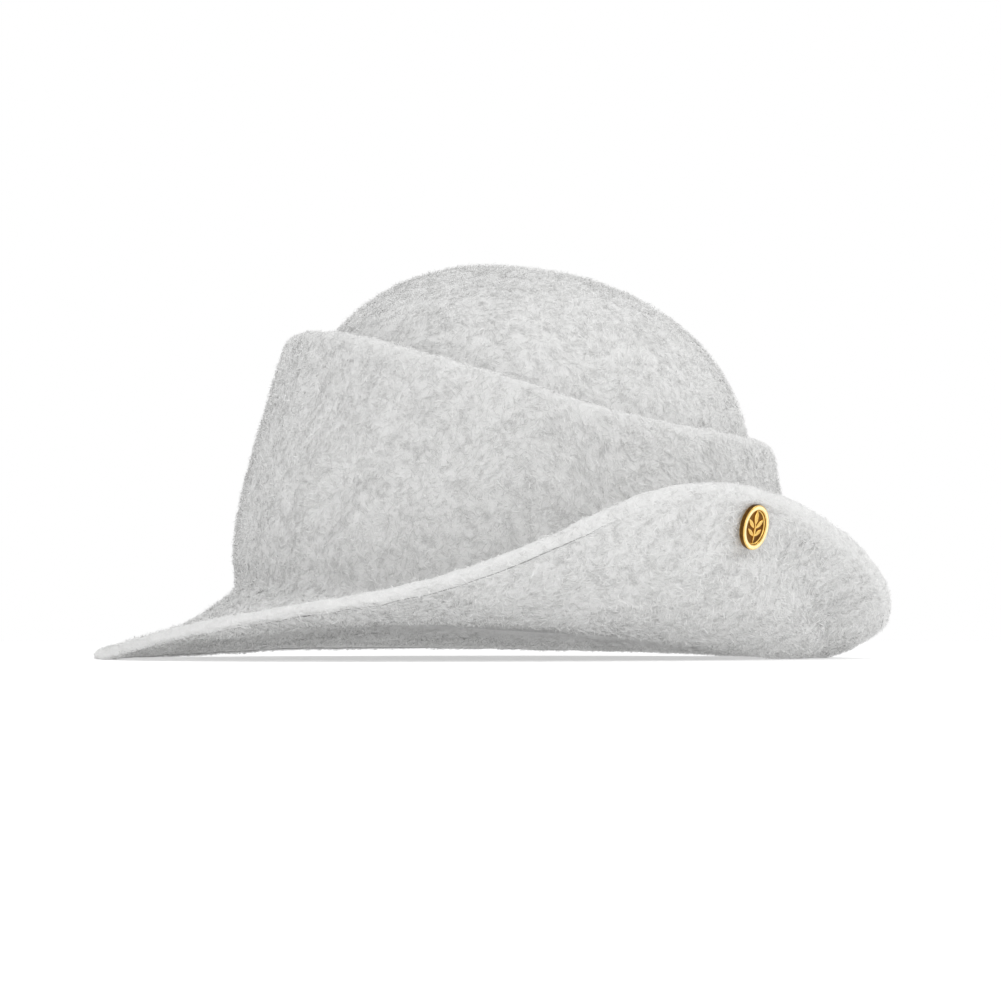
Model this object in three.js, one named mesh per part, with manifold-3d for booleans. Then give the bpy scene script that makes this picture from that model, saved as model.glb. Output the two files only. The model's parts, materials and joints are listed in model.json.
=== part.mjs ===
// A felt hat with a swept fold round its crown and a brim turned up over the wearer's left eye.
// Millimetres, +Z up. The front faces -Y and the wearer's left is +X.
// Azimuths are degrees round the crown's axis, from the front (0) towards the wearer's left (90).
import * as THREE from "three";
import { mergeVertices } from "three/addons/utils/BufferGeometryUtils.js";
import Module from "manifold-3d";

// Driving dimensions of the felt body. The head frame has z = 0 at the headline, where crown and brim meet.
const HEAD_WIDTH = 172; // clear width inside the sweatband
const HEAD_LENGTH = 198; // clear length inside the sweatband
const FELT = 2; // thickness of the felt
const HEM_WIDTH = 5; // brim edge folded under and stitched
const HEM_LAYER = 1.2; // what the pressed hem adds to the felt's thickness
const CROWN_HEIGHT = 116; // headline to the top of the dome
const DOME_LEAN = 0.055; // share by which the dome's top rises towards the wearer's right
const DOME_WIDTH = 152; // width of the dome where its side is upright
const DOME_LENGTH = 176;
const DOME_BASE = 42; // height where the dome's side is upright
const DOME_ROUNDNESS = 2.3; // 2 is an ellipse, more is squarer
const WALL_LEAN = 11; // degrees that the wall leans in at the fold
const WAIST_LEAN = 16; // degrees that the wall leans out as it leaves its foot
const FOLD_RADIUS = 2.6; // middle of the felt, over the fold's rim
const GROOVE_RADIUS = 2; // middle of the felt, in the groove behind the rim
const GROOVE_DEPTH = 11; // rim down to the bottom of the groove
const BREAK_RADIUS = 5; // middle of the felt, where the crown turns out into the brim
const GAP = 0.3; // running gap between separate pieces

// Driving dimensions of the sweatband, a ribbon ring with a lapped seam at the back
const BAND_HEIGHT = 24.5;
const BAND_THICKNESS = 1;
const BAND_LIFT = 0.5; // its lower edge above the crown's foot
const LAP_WIDTH = 3;
const LAP_THICKNESS = 0.6;

// Driving dimensions of the badge
const BADGE_AZIMUTH = 37.2;
const BADGE_REACH = 0.82; // share of the brim's width, from the crown
const BADGE_WIDTH = 10.8;
const BADGE_HEIGHT = 12.8;
const BADGE_PLATE = 1.1;
const BADGE_RIM = 1.2; // width of the raised rim
const BADGE_RISE = 0.7; // rim above the field
const BADGE_STAND = 0.8; // clears the felt, which curves under the plate
const POST_RADIUS = 0.7;
const CLASP_RADIUS = 4;
const CLASP_THICKNESS = 2.4;

// The sprig in relief on the badge: where each leaf lies, its turn clockwise from upright and its size
const SPRIG = [
  { x: 0, y: 2.6, turn: 0, length: 4.2, width: 1.7 },
  { x: -1.7, y: 0.9, turn: -45, length: 3.6, width: 1.4 },
  { x: 1.7, y: 0.9, turn: 45, length: 3.6, width: 1.4 },
  { x: -1.5, y: -1.6, turn: -50, length: 3.2, width: 1.3 },
  { x: 1.5, y: -1.6, turn: 50, length: 3.2, width: 1.3 },
  { x: 0, y: -1.3, turn: 0, length: 6.6, width: 0.7 },
];

// How the hat leans when it rests on its brim: the floor is z = 0
const REST_PITCH = -2.1; // degrees about X, after the roll
const REST_ROLL = 3.3; // degrees about Y
const REST_HEIGHT = 11.5; // middle of the headline above the floor

// The fold's rim, by azimuth: its height above the headline, and how far it lies inside the headline
const FOLD = [
  { azimuth: 0, height: 72, inset: 7 },
  { azimuth: 30, height: 61.5, inset: 5 },
  { azimuth: 60, height: 61.5, inset: 5.5 },
  { azimuth: 90, height: 63.5, inset: 6 },
  { azimuth: 120, height: 66, inset: 6 },
  { azimuth: 150, height: 71, inset: 7 },
  { azimuth: 180, height: 76.5, inset: 8 },
  { azimuth: 210, height: 81.5, inset: 8.5 },
  { azimuth: 240, height: 85.5, inset: 10 },
  { azimuth: 270, height: 87.5, inset: 10.5 },
  { azimuth: 300, height: 87.4, inset: 10 },
  { azimuth: 330, height: 83.2, inset: 9 },
];

// The brim, by azimuth: the height of the crown's foot above the headline, the width along the felt,
// and the slope where the brim leaves the crown and at its edge
const BRIM = [
  { azimuth: 0, foot: -0.5, width: 52.6, root: -14, edge: 27 },
  { azimuth: 12, foot: -1.5, width: 55.2, root: -8, edge: 56 },
  { azimuth: 24, foot: -2.6, width: 63.9, root: 1, edge: 82 },
  { azimuth: 36, foot: -3.3, width: 64.2, root: 6, edge: 89 },
  { azimuth: 48, foot: -3.9, width: 58.1, root: 8, edge: 87 },
  { azimuth: 60, foot: -4.5, width: 50.8, root: 8, edge: 81 },
  { azimuth: 75, foot: -5, width: 42.3, root: 4, edge: 70 },
  { azimuth: 90, foot: -4.5, width: 35.1, root: 2, edge: 58 },
  { azimuth: 110, foot: -2.8, width: 31.2, root: -3, edge: 42 },
  { azimuth: 135, foot: -1.2, width: 33.4, root: -4, edge: 19 },
  { azimuth: 165, foot: 0, width: 37.9, root: -4, edge: 7 },
  { azimuth: 195, foot: 0, width: 40.3, root: -8, edge: 1 },
  { azimuth: 225, foot: 0, width: 42.6, root: -14, edge: -8 },
  { azimuth: 255, foot: 0.5, width: 42.5, root: -28, edge: -15 },
  { azimuth: 285, foot: 2.2, width: 47.3, root: -44, edge: -9 },
  { azimuth: 310, foot: 3.3, width: 53.3, root: -46, edge: -4 },
  { azimuth: 335, foot: 1.8, width: 55.6, root: -33, edge: 10 },
];

// The furrow in the turned-up brim, from the badge back to the wearer's left
const FURROW_START = { azimuth: 40, share: 0.86 };
const FURROW_END = { azimuth: 88, share: 0.35 };
const FURROW_DEPTH = 4;
const FURROW_WIDTH = 9;

// How finely the felt is divided: columns are closer together where the brim turns up
const FINE_FROM = -12;
const FINE_TO = 84;
const FINE_COLUMNS = 20;
const PLAIN_COLUMNS = 44;
const DOME_STEPS = 9;
const GROOVE_STEPS = 4;
const RIM_STEPS = 5;
const WALL_STEPS = 6;
const BREAK_STEPS = 3;
const BRIM_STEPS = 7;
const EDGE_STEPS = 4;
const BAND_COLUMNS = 64;
const BADGE_SIDES = 40;

const radians = THREE.MathUtils.degToRad;
const along = (heading) => [Math.cos(radians(heading)), Math.sin(radians(heading))];

// Distance from the centre of an ellipse to its outline, towards an azimuth.
function ellipseReach(width, length, azimuth) {
  const a = radians(azimuth);
  return 1 / Math.hypot((2 * Math.sin(a)) / width, (2 * Math.cos(a)) / length);
}

// A smooth closed curve through one column of a table that has a row every few degrees.
function column(rows, name) {
  const n = rows.length;
  const at = (i) => rows[((i % n) + n) % n][name];
  const turn = (i) => rows[((i % n) + n) % n].azimuth + 360 * Math.floor(i / n);
  const slope = (i) => (at(i + 1) - at(i - 1)) / (turn(i + 1) - turn(i - 1));
  return (azimuth) => {
    const a = ((azimuth % 360) + 360) % 360;
    let i = n - 1;
    while (turn(i) > a) i -= 1;
    const span = turn(i + 1) - turn(i);
    const t = (a - turn(i)) / span;
    const s = 1 - t;
    return (
      at(i) * s * s * (1 + 2 * t) +
      at(i + 1) * t * t * (3 - 2 * t) +
      slope(i) * span * t * s * s -
      slope(i + 1) * span * t * t * s
    );
  };
}

const rimHeight = column(FOLD, "height");
const rimInset = column(FOLD, "inset");
const footHeight = column(BRIM, "foot");
const brimWidth = column(BRIM, "width");
const brimRoot = column(BRIM, "root");
const brimEdge = column(BRIM, "edge");

// Middle of the felt at the headline.
function headlineReach(azimuth) {
  return ellipseReach(HEAD_WIDTH, HEAD_LENGTH, azimuth) + BAND_THICKNESS + GAP + FELT / 2;
}

// A point of the dome's section. The lean fades out towards the dome's side.
function domePoint(azimuth, angle) {
  const reach = ellipseReach(DOME_WIDTH, DOME_LENGTH, azimuth);
  const rise = CROWN_HEIGHT - FELT / 2 - DOME_BASE;
  const power = 2 / DOME_ROUNDNESS;
  const [c, s] = along(angle);
  const share = Math.pow(s, power);
  const lean = DOME_LEAN * reach * share * Math.sin(radians(azimuth)) * (1 - share * share);
  return [reach * share, DOME_BASE + rise * Math.pow(c, power) - lean];
}

// A station is a point (r, z) of the felt's middle with the heading of the path there, in degrees.
function domeStation(azimuth, angle) {
  const [r, z] = domePoint(azimuth, angle);
  if (angle === 0) return { r, z, heading: 0 };
  const before = domePoint(azimuth, angle - 0.5);
  const after = domePoint(azimuth, angle + 0.5);
  return { r, z, heading: THREE.MathUtils.radToDeg(Math.atan2(after[1] - before[1], after[0] - before[0])) };
}

// The angle at which the dome comes down to a height.
function domeAngle(height) {
  const rise = CROWN_HEIGHT - FELT / 2 - DOME_BASE;
  const share = (height - DOME_BASE) / rise;
  return (Math.acos(Math.pow(share, DOME_ROUNDNESS / 2)) * 180) / Math.PI;
}

// Stations along an arc that starts at a station and turns to a heading, to the left if sweep is positive.
function arc(start, heading, radius, steps) {
  const sweep = heading - start.heading;
  const side = Math.sign(sweep) * radius;
  const [c, s] = along(start.heading);
  const centre = [start.r - s * side, start.z + c * side];
  return Array.from({ length: steps }, (_, k) => {
    const h = start.heading + (sweep * (k + 1)) / steps;
    const [ch, sh] = along(h);
    return { r: centre[0] + sh * side, z: centre[1] - ch * side, heading: h };
  });
}

// The middle of the felt in one half-plane through the crown's axis, from the top of the dome to the brim's edge.
function feltPath(azimuth) {
  const top = rimHeight(azimuth) - FELT / 2;
  const grooveHeight = top - GROOVE_DEPTH;
  const last = domeAngle(grooveHeight + GROOVE_RADIUS);
  const dome = Array.from({ length: DOME_STEPS + 1 }, (_, k) => domeStation(azimuth, (last * k) / DOME_STEPS));

  // the groove and the rim are two arcs with a straight leg between them, their inner tangent
  const foot = dome[DOME_STEPS];
  const [fc, fs] = along(foot.heading);
  const groove = [foot.r - fs * GROOVE_RADIUS, foot.z + fc * GROOVE_RADIUS];
  const wallHeading = -90 + WALL_LEAN;
  const rim = [headlineReach(azimuth) - rimInset(azimuth) - FOLD_RADIUS, top - FOLD_RADIUS];
  const apart = [rim[0] - groove[0], rim[1] - groove[1]];
  const reach = Math.hypot(...apart);
  const legHeading = ((Math.atan2(apart[1], apart[0]) + Math.asin((FOLD_RADIUS + GROOVE_RADIUS) / reach)) * 180) / Math.PI;
  const bottom = arc(foot, legHeading, GROOVE_RADIUS, GROOVE_STEPS);
  const [lc, ls] = along(legHeading);
  const legTop = { r: rim[0] - ls * FOLD_RADIUS, z: rim[1] + lc * FOLD_RADIUS, heading: legHeading };
  const over = arc(legTop, wallHeading, FOLD_RADIUS, RIM_STEPS);

  // the wall is a cubic curve from the rim down to the headline
  const start = over[RIM_STEPS - 1];
  const end = { r: headlineReach(azimuth), z: footHeight(azimuth) + BREAK_RADIUS, heading: -90 - WAIST_LEAN };
  const drop = start.z - end.z;
  const curve = new THREE.CubicBezierCurve(
    new THREE.Vector2(start.r, start.z),
    new THREE.Vector2(start.r + along(wallHeading)[0] * drop * 0.45, start.z + along(wallHeading)[1] * drop * 0.45),
    new THREE.Vector2(end.r - along(end.heading)[0] * drop * 0.25, end.z - along(end.heading)[1] * drop * 0.25),
    new THREE.Vector2(end.r, end.z),
  );
  const wall = Array.from({ length: WALL_STEPS }, (_, k) => {
    const t = (k + 1) / WALL_STEPS;
    const p = curve.getPoint(t);
    const d = curve.getTangent(t);
    return { r: p.x, z: p.y, heading: (Math.atan2(d.y, d.x) * 180) / Math.PI };
  });

  // the brim leaves the crown over a small break and bends evenly from its root slope to its edge slope
  const turn = arc(wall[WALL_STEPS - 1], brimRoot(azimuth), BREAK_RADIUS, BREAK_STEPS);
  const brim = brimStations(azimuth, turn[BREAK_STEPS - 1]);
  return [...dome, ...bottom, legTop, ...over, ...wall, ...turn, ...brim];
}

// Stations over the brim: evenly spaced as far as the hem, then at both sides of the hem's step and at the edge.
function brimStations(azimuth, root) {
  const width = brimWidth(azimuth);
  const hem = width - HEM_WIDTH;
  const at = Array.from({ length: BRIM_STEPS }, (_, k) => (hem * (k + 1)) / BRIM_STEPS);
  at.push(hem + 0.3, hem + HEM_WIDTH / 2, width - (FELT + HEM_LAYER) / 2);
  return at.map((s, k) => ({ ...brimStation(azimuth, root, s), hem: k >= BRIM_STEPS }));
}

// One station of the brim at a distance from its root.
function brimStation(azimuth, root, distance) {
  const width = brimWidth(azimuth);
  const change = (brimEdge(azimuth) - root.heading) / width;
  const heading = root.heading + change * distance;
  const half = radians(change * distance) / 2;
  const chord = distance * (Math.abs(half) < 1e-6 ? 1 : Math.sin(half) / half);
  const [c, s] = along(root.heading + (change * distance) / 2);
  const [hc, hs] = along(heading);
  const lift = furrow(azimuth, distance / width);
  return { r: root.r + c * chord - hs * lift, z: root.z + s * chord + hc * lift, heading };
}

// How far the furrow presses the brim towards its upper side.
function furrow(azimuth, share) {
  const a = ((azimuth + 180) % 360) - 180;
  const t = (a - FURROW_START.azimuth) / (FURROW_END.azimuth - FURROW_START.azimuth);
  const middle = FURROW_START.share + t * (FURROW_END.share - FURROW_START.share);
  const across = ((share - middle) * brimWidth(azimuth)) / FURROW_WIDTH;
  const ends = THREE.MathUtils.smoothstep(t, -0.3, 0.2) * (1 - THREE.MathUtils.smoothstep(t, 0.6, 1.3));
  const rim = 1 - THREE.MathUtils.smoothstep(share, 0.8, 1);
  return FURROW_DEPTH * Math.exp(-across * across) * ends * rim * THREE.MathUtils.smoothstep(share, 0, 0.2);
}

// A point beside a station, out along the felt's upper side.
function beside(station, offset) {
  const [c, s] = along(station.heading);
  return [station.r - s * offset, station.z + c * offset];
}

// The closed outline of the felt in one half-plane: upper side, rounded edge, under side with its hem.
function feltOutline(azimuth) {
  const path = feltPath(azimuth);
  const upper = path.map((p) => beside(p, FELT / 2));
  const lower = path.map((p) => beside(p, -FELT / 2 - (p.hem ? HEM_LAYER : 0)));
  const edge = path[path.length - 1];
  const radius = (FELT + HEM_LAYER) / 2;
  const [r, z] = beside(edge, -HEM_LAYER / 2);
  const round = Array.from({ length: EDGE_STEPS - 1 }, (_, k) => {
    const [c, s] = along(edge.heading + 90 - (180 * (k + 1)) / EDGE_STEPS);
    return [r + c * radius, z + s * radius];
  });
  return [...upper, ...round, ...lower.reverse()];
}

// A closed skin over outlines that all start and end on the axis.
function loft(outlines, azimuths) {
  const columns = outlines.length;
  const inner = outlines[0].length - 2;
  const positions = [0, 0, outlines[0][0][1]];
  outlines.forEach((outline, c) => {
    const a = radians(azimuths[c]);
    outline.slice(1, -1).forEach(([r, z]) => positions.push(r * Math.sin(a), -r * Math.cos(a), z));
  });
  const lastPoint = positions.length / 3;
  positions.push(0, 0, outlines[0][inner + 1][1]);
  const index = [];
  for (let c = 0; c < columns; c += 1) {
    const here = 1 + c * inner;
    const next = 1 + ((c + 1) % columns) * inner;
    index.push(0, here, next);
    for (let k = 0; k < inner - 1; k += 1) {
      index.push(here + k, here + k + 1, next + k + 1, here + k, next + k + 1, next + k);
    }
    index.push(here + inner - 1, lastPoint, next + inner - 1);
  }
  const geometry = new THREE.BufferGeometry();
  geometry.setAttribute("position", new THREE.Float32BufferAttribute(positions, 3));
  geometry.setIndex(index);
  return geometry;
}

const wasm = await Module();
wasm.setup();

// A closed three.js geometry as a manifold-3d solid, and back.
function solid(geometry) {
  const bare = geometry.clone();
  bare.deleteAttribute("normal");
  bare.deleteAttribute("uv");
  const merged = mergeVertices(bare, 1e-4);
  return new wasm.Manifold(
    new wasm.Mesh({
      numProp: 3,
      vertProperties: merged.attributes.position.array,
      triVerts: new Uint32Array(merged.index.array),
    }),
  );
}

function geometryOf(manifold) {
  const mesh = manifold.getMesh();
  const geometry = new THREE.BufferGeometry();
  geometry.setAttribute("position", new THREE.BufferAttribute(mesh.vertProperties, 3));
  geometry.setIndex(new THREE.BufferAttribute(mesh.triVerts, 1));
  geometry.computeVertexNormals();
  return geometry;
}

const felt = new THREE.MeshStandardMaterial({ color: 0xe9e9e8, roughness: 0.95, metalness: 0 });
const ribbon = new THREE.MeshStandardMaterial({ color: 0xdcdcda, roughness: 0.85, metalness: 0 });
const gold = new THREE.MeshStandardMaterial({ color: 0xd9a93a, roughness: 0.25, metalness: 1 });

// The felt's skin in the head frame.
function feltSkin() {
  const fine = Array.from({ length: FINE_COLUMNS }, (_, k) => FINE_FROM + ((FINE_TO - FINE_FROM) * k) / FINE_COLUMNS);
  const rest = 360 - (FINE_TO - FINE_FROM);
  const plain = Array.from({ length: PLAIN_COLUMNS }, (_, k) => FINE_TO + (rest * k) / PLAIN_COLUMNS);
  const azimuths = [...fine, ...plain];
  return loft(azimuths.map(feltOutline), azimuths);
}

// The pose at rest: tilted on to its brim, with the middle of its box over the origin.
function restPose() {
  const tilt = new THREE.Matrix4().makeRotationFromEuler(new THREE.Euler(radians(REST_PITCH), radians(REST_ROLL), 0));
  const skin = feltSkin().applyMatrix4(tilt);
  skin.computeBoundingBox();
  const middle = skin.boundingBox.getCenter(new THREE.Vector3());
  return new THREE.Matrix4().makeTranslation(-middle.x, -middle.y, REST_HEIGHT).multiply(tilt);
}

// The felt body: dome, fold, wall and brim with its folded hem, less the hole for the badge's post.
// Where it would reach below the floor, the felt is pressed flat.
function feltBody(pose) {
  const skin = feltSkin().applyMatrix4(pose);
  const points = skin.attributes.position;
  for (let i = 0; i < points.count; i += 1) {
    points.setZ(i, Math.max(points.getZ(i), 0));
  }
  const hole = rod(POST_RADIUS + GAP, -4, 4).applyMatrix4(badgeFrame()).applyMatrix4(pose);
  return named("felt_body", geometryOf(solid(skin).subtract(solid(hole))), felt);
}

function named(name, geometry, material) {
  const mesh = new THREE.Mesh(geometry, material);
  mesh.name = name;
  return mesh;
}

// The sweatband: an upright ribbon ring with its ends lapped at the back.
function sweatband(pose) {
  const lap = LAP_WIDTH / (HEAD_LENGTH / 2 / (180 / Math.PI)) / 2;
  const even = Array.from({ length: BAND_COLUMNS }, (_, k) => (360 * (k + 0.5)) / BAND_COLUMNS);
  const azimuths = [...even, 180 - lap - 0.3, 180 - lap, 180 + lap, 180 + lap + 0.3].sort((a, b) => a - b);
  const rings = azimuths.map((azimuth) => {
    const outer = headlineReach(azimuth) - FELT / 2 - GAP;
    const inner = outer - BAND_THICKNESS - (Math.abs(azimuth - 180) < lap + 0.1 ? LAP_THICKNESS : 0);
    const low = footHeight(azimuth) + BAND_LIFT;
    return [
      [outer, low],
      [outer, low + BAND_HEIGHT],
      [inner, low + BAND_HEIGHT],
      [inner, low],
    ];
  });
  return named("sweatband", hoop(rings, azimuths).applyMatrix4(pose), ribbon);
}

// A closed ring through sections that all have the same number of points, counter-clockwise seen from behind.
function hoop(rings, azimuths) {
  const count = rings[0].length;
  const positions = rings.flatMap((ring, c) => {
    const a = radians(azimuths[c]);
    return ring.flatMap(([r, z]) => [r * Math.sin(a), -r * Math.cos(a), z]);
  });
  const index = rings.flatMap((_, c) =>
    Array.from({ length: count }, (__, k) => {
      const next = (c + 1) % rings.length;
      const a = c * count + k;
      const b = c * count + ((k + 1) % count);
      const d = next * count + k;
      const e = next * count + ((k + 1) % count);
      return [a, d, e, a, e, b];
    }).flat(),
  );
  const geometry = new THREE.BufferGeometry();
  geometry.setAttribute("position", new THREE.Float32BufferAttribute(positions, 3));
  geometry.setIndex(index);
  geometry.computeVertexNormals();
  return geometry;
}

// A rod along Z between two heights.
function rod(radius, from, to) {
  return new THREE.CylinderGeometry(radius, radius, to - from, 16).rotateX(Math.PI / 2).translate(0, 0, (from + to) / 2);
}

// Where the badge sits: z out of the brim's under side, y up along the brim, the origin in the middle of the felt.
function badgeFrame() {
  const point = (azimuth, share) => {
    const path = feltPath(azimuth);
    const root = path[path.length - BRIM_STEPS - 4];
    const { r, z } = brimStation(azimuth, root, share * brimWidth(azimuth));
    return new THREE.Vector3(r * Math.sin(radians(azimuth)), -r * Math.cos(radians(azimuth)), z);
  };
  const origin = point(BADGE_AZIMUTH, BADGE_REACH);
  const up = point(BADGE_AZIMUTH, BADGE_REACH + 0.05).sub(point(BADGE_AZIMUTH, BADGE_REACH - 0.05)).normalize();
  const side = point(BADGE_AZIMUTH + 2, BADGE_REACH).sub(point(BADGE_AZIMUTH - 2, BADGE_REACH));
  const out = side.cross(up).normalize();
  const across = new THREE.Vector3().crossVectors(up, out);
  return new THREE.Matrix4().makeBasis(across, up, out).setPosition(origin);
}

// The badge: an oval plate with a raised rim, a sprig in relief and a post, all one casting.
function badge(pose) {
  const seat = FELT / 2 + GAP + BADGE_STAND;
  const rise = seat + BADGE_PLATE;
  const top = rise + BADGE_RISE;
  const profile = [
    [0, seat],
    [0.94, seat],
    [1, seat + 0.3],
    [1, top - 0.3],
    [0.95, top],
    [1 - (1.4 * BADGE_RIM) / BADGE_WIDTH, top],
    [1 - (2 * BADGE_RIM) / BADGE_WIDTH, rise],
    [0, rise],
  ].map(([share, height]) => new THREE.Vector2((share * BADGE_WIDTH) / 2, height));
  const plate = new THREE.LatheGeometry(profile, BADGE_SIDES).rotateX(Math.PI / 2).scale(1, BADGE_HEIGHT / BADGE_WIDTH, 1);
  const leaves = SPRIG.map(({ x, y, turn, length, width }) =>
    new THREE.SphereGeometry(1, 10, 6)
      .scale(width / 2, length / 2, BADGE_RISE * 0.8)
      .rotateZ(radians(-turn))
      .translate(x, y, rise),
  );
  const post = rod(POST_RADIUS, -FELT / 2 - CLASP_THICKNESS - 2 * GAP, seat + BADGE_PLATE / 2);
  const cast = [...leaves, post].reduce((sum, piece) => sum.add(solid(piece)), solid(plate));
  return named("badge", geometryOf(cast).applyMatrix4(badgeFrame()).applyMatrix4(pose), gold);
}

// The clasp: a plain round clutch that holds the post behind the felt.
function badgeClasp(pose) {
  const near = -FELT / 2 - GAP;
  const disc = solid(rod(CLASP_RADIUS, near - CLASP_THICKNESS, near));
  const bore = solid(rod(POST_RADIUS + GAP, near - CLASP_THICKNESS - 1, near + 1));
  return named("badge_clasp", geometryOf(disc.subtract(bore)).applyMatrix4(badgeFrame()).applyMatrix4(pose), gold);
}

const pose = restPose();
const hat = new THREE.Group();
hat.name = "hat";
hat.add(feltBody(pose), sweatband(pose), badge(pose), badgeClasp(pose));
export default hat;
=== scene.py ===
"""A long-haired felt hat that rests on its brim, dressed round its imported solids.

Metres, +Z up. The front of the hat faces -Y and the wearer's left is +X.
Azimuths go round the crown from the front (0) towards the wearer's left (90), in degrees.
"""

import json
import logging
import math
from collections.abc import Iterator
from contextlib import contextmanager
from dataclasses import dataclass
from enum import Enum

import bmesh
import bpy
import numpy as np
from mathutils import Matrix, Vector
from mathutils.bvhtree import BVHTree

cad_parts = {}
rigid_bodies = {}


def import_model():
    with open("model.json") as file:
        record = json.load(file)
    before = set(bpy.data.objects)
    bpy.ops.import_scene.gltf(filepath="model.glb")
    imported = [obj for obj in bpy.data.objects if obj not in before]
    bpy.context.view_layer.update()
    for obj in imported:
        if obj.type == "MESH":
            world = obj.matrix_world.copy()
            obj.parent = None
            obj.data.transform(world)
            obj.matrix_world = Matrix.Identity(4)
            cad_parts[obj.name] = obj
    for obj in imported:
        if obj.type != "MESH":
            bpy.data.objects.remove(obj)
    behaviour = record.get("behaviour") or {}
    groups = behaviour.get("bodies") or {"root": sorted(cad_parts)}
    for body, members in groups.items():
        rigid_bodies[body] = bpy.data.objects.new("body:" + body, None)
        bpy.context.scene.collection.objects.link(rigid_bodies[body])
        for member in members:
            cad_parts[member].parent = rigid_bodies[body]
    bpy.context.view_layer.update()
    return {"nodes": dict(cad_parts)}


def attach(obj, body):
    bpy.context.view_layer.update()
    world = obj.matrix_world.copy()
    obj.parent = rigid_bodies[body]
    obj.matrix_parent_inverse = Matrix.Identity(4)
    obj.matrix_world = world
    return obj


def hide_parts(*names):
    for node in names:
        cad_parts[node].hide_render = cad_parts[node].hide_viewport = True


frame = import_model()

MM = 0.001
TURN = 2.0 * math.pi
BODY = "root"

log = logging.getLogger("felt_hat")


# Helpers for modelling by hand


def alone(piece: bpy.types.Object) -> None:
    """Selects one object only and makes it the active one.

    Args:
        piece: the object to work on.
    """
    for other in bpy.context.view_layer.objects:
        other.select_set(False)
    piece.select_set(True)
    bpy.context.view_layer.objects.active = piece


@contextmanager
def editing(piece: bpy.types.Object) -> Iterator[None]:
    """Opens edit mode on one object and closes it afterwards.

    Args:
        piece: the object to edit.

    Yields:
        Nothing, while the object is in edit mode.
    """
    alone(piece)
    bpy.ops.object.mode_set(mode="EDIT")
    try:
        yield
    finally:
        bpy.ops.object.mode_set(mode="OBJECT")


def finish_with(piece: bpy.types.Object, kind: str, **settings: object) -> None:
    """Adds a modifier, sets it and applies it.

    Args:
        piece: the object that takes the modifier.
        kind: Blender's name for the kind of modifier.
        settings: values for the modifier's own fields.
    """
    alone(piece)
    modifier = piece.modifiers.new(kind.lower(), kind)
    for name, value in settings.items():
        setattr(modifier, name, value)
    bpy.ops.object.modifier_apply(modifier=modifier.name)


def places(piece: bpy.types.Object) -> np.ndarray:
    """Reads where a mesh's points are.

    Args:
        piece: the mesh's object.

    Returns:
        The places, one row each.
    """
    found = np.empty(len(piece.data.vertices) * 3, np.float32)
    piece.data.vertices.foreach_get("co", found)
    return found.reshape(-1, 3).astype(float)


def put(piece: bpy.types.Object, points: np.ndarray) -> None:
    """Moves a mesh's points to new places, one row each."""
    piece.data.vertices.foreach_set("co", points.astype(np.float32).ravel())
    piece.data.update()


def linked(name: str, data: bpy.types.ID) -> bpy.types.Object:
    """Puts a new object in the scene.

    Args:
        name: the new object's name.
        data: its mesh, lamp or camera.

    Returns:
        The new object.
    """
    piece = bpy.data.objects.new(name, data)
    bpy.context.scene.collection.objects.link(piece)
    return piece


def fresh_copy(node: str, name: str) -> bpy.types.Object:
    """Copies a CAD node's mesh to a new object with its doubles merged.

    Args:
        node: the CAD node's name.
        name: the new object's name.

    Returns:
        The new object, with its own mesh and no material.
    """
    mesh = frame["nodes"][node].data.copy()
    mesh.name = name
    mesh.materials.clear()
    piece = linked(name, mesh)
    alone(piece)
    bpy.ops.mesh.customdata_custom_splitnormals_clear()
    with editing(piece):
        bpy.ops.mesh.select_all(action="SELECT")
        bpy.ops.mesh.remove_doubles(threshold=1e-6)
    return piece


def belongs(piece: bpy.types.Object, slot: str, *nodes: str) -> None:
    """Puts a finished piece on the hat's body and reports it.

    Args:
        piece: the finished object.
        slot: the record's material slot; not used.
        nodes: the CAD nodes that it stands for.
    """
    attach(piece, BODY)
    if nodes:
        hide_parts(*nodes)
    piece.data.calc_loop_triangles()
    log.info("%s: %d triangles", piece.name, len(piece.data.loop_triangles))


def unit(vectors: np.ndarray) -> np.ndarray:
    """Returns rows of vectors with a length of one."""
    return vectors / np.maximum(np.linalg.norm(vectors, axis=1, keepdims=True), 1e-12)


# The wearer's head frame


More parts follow.
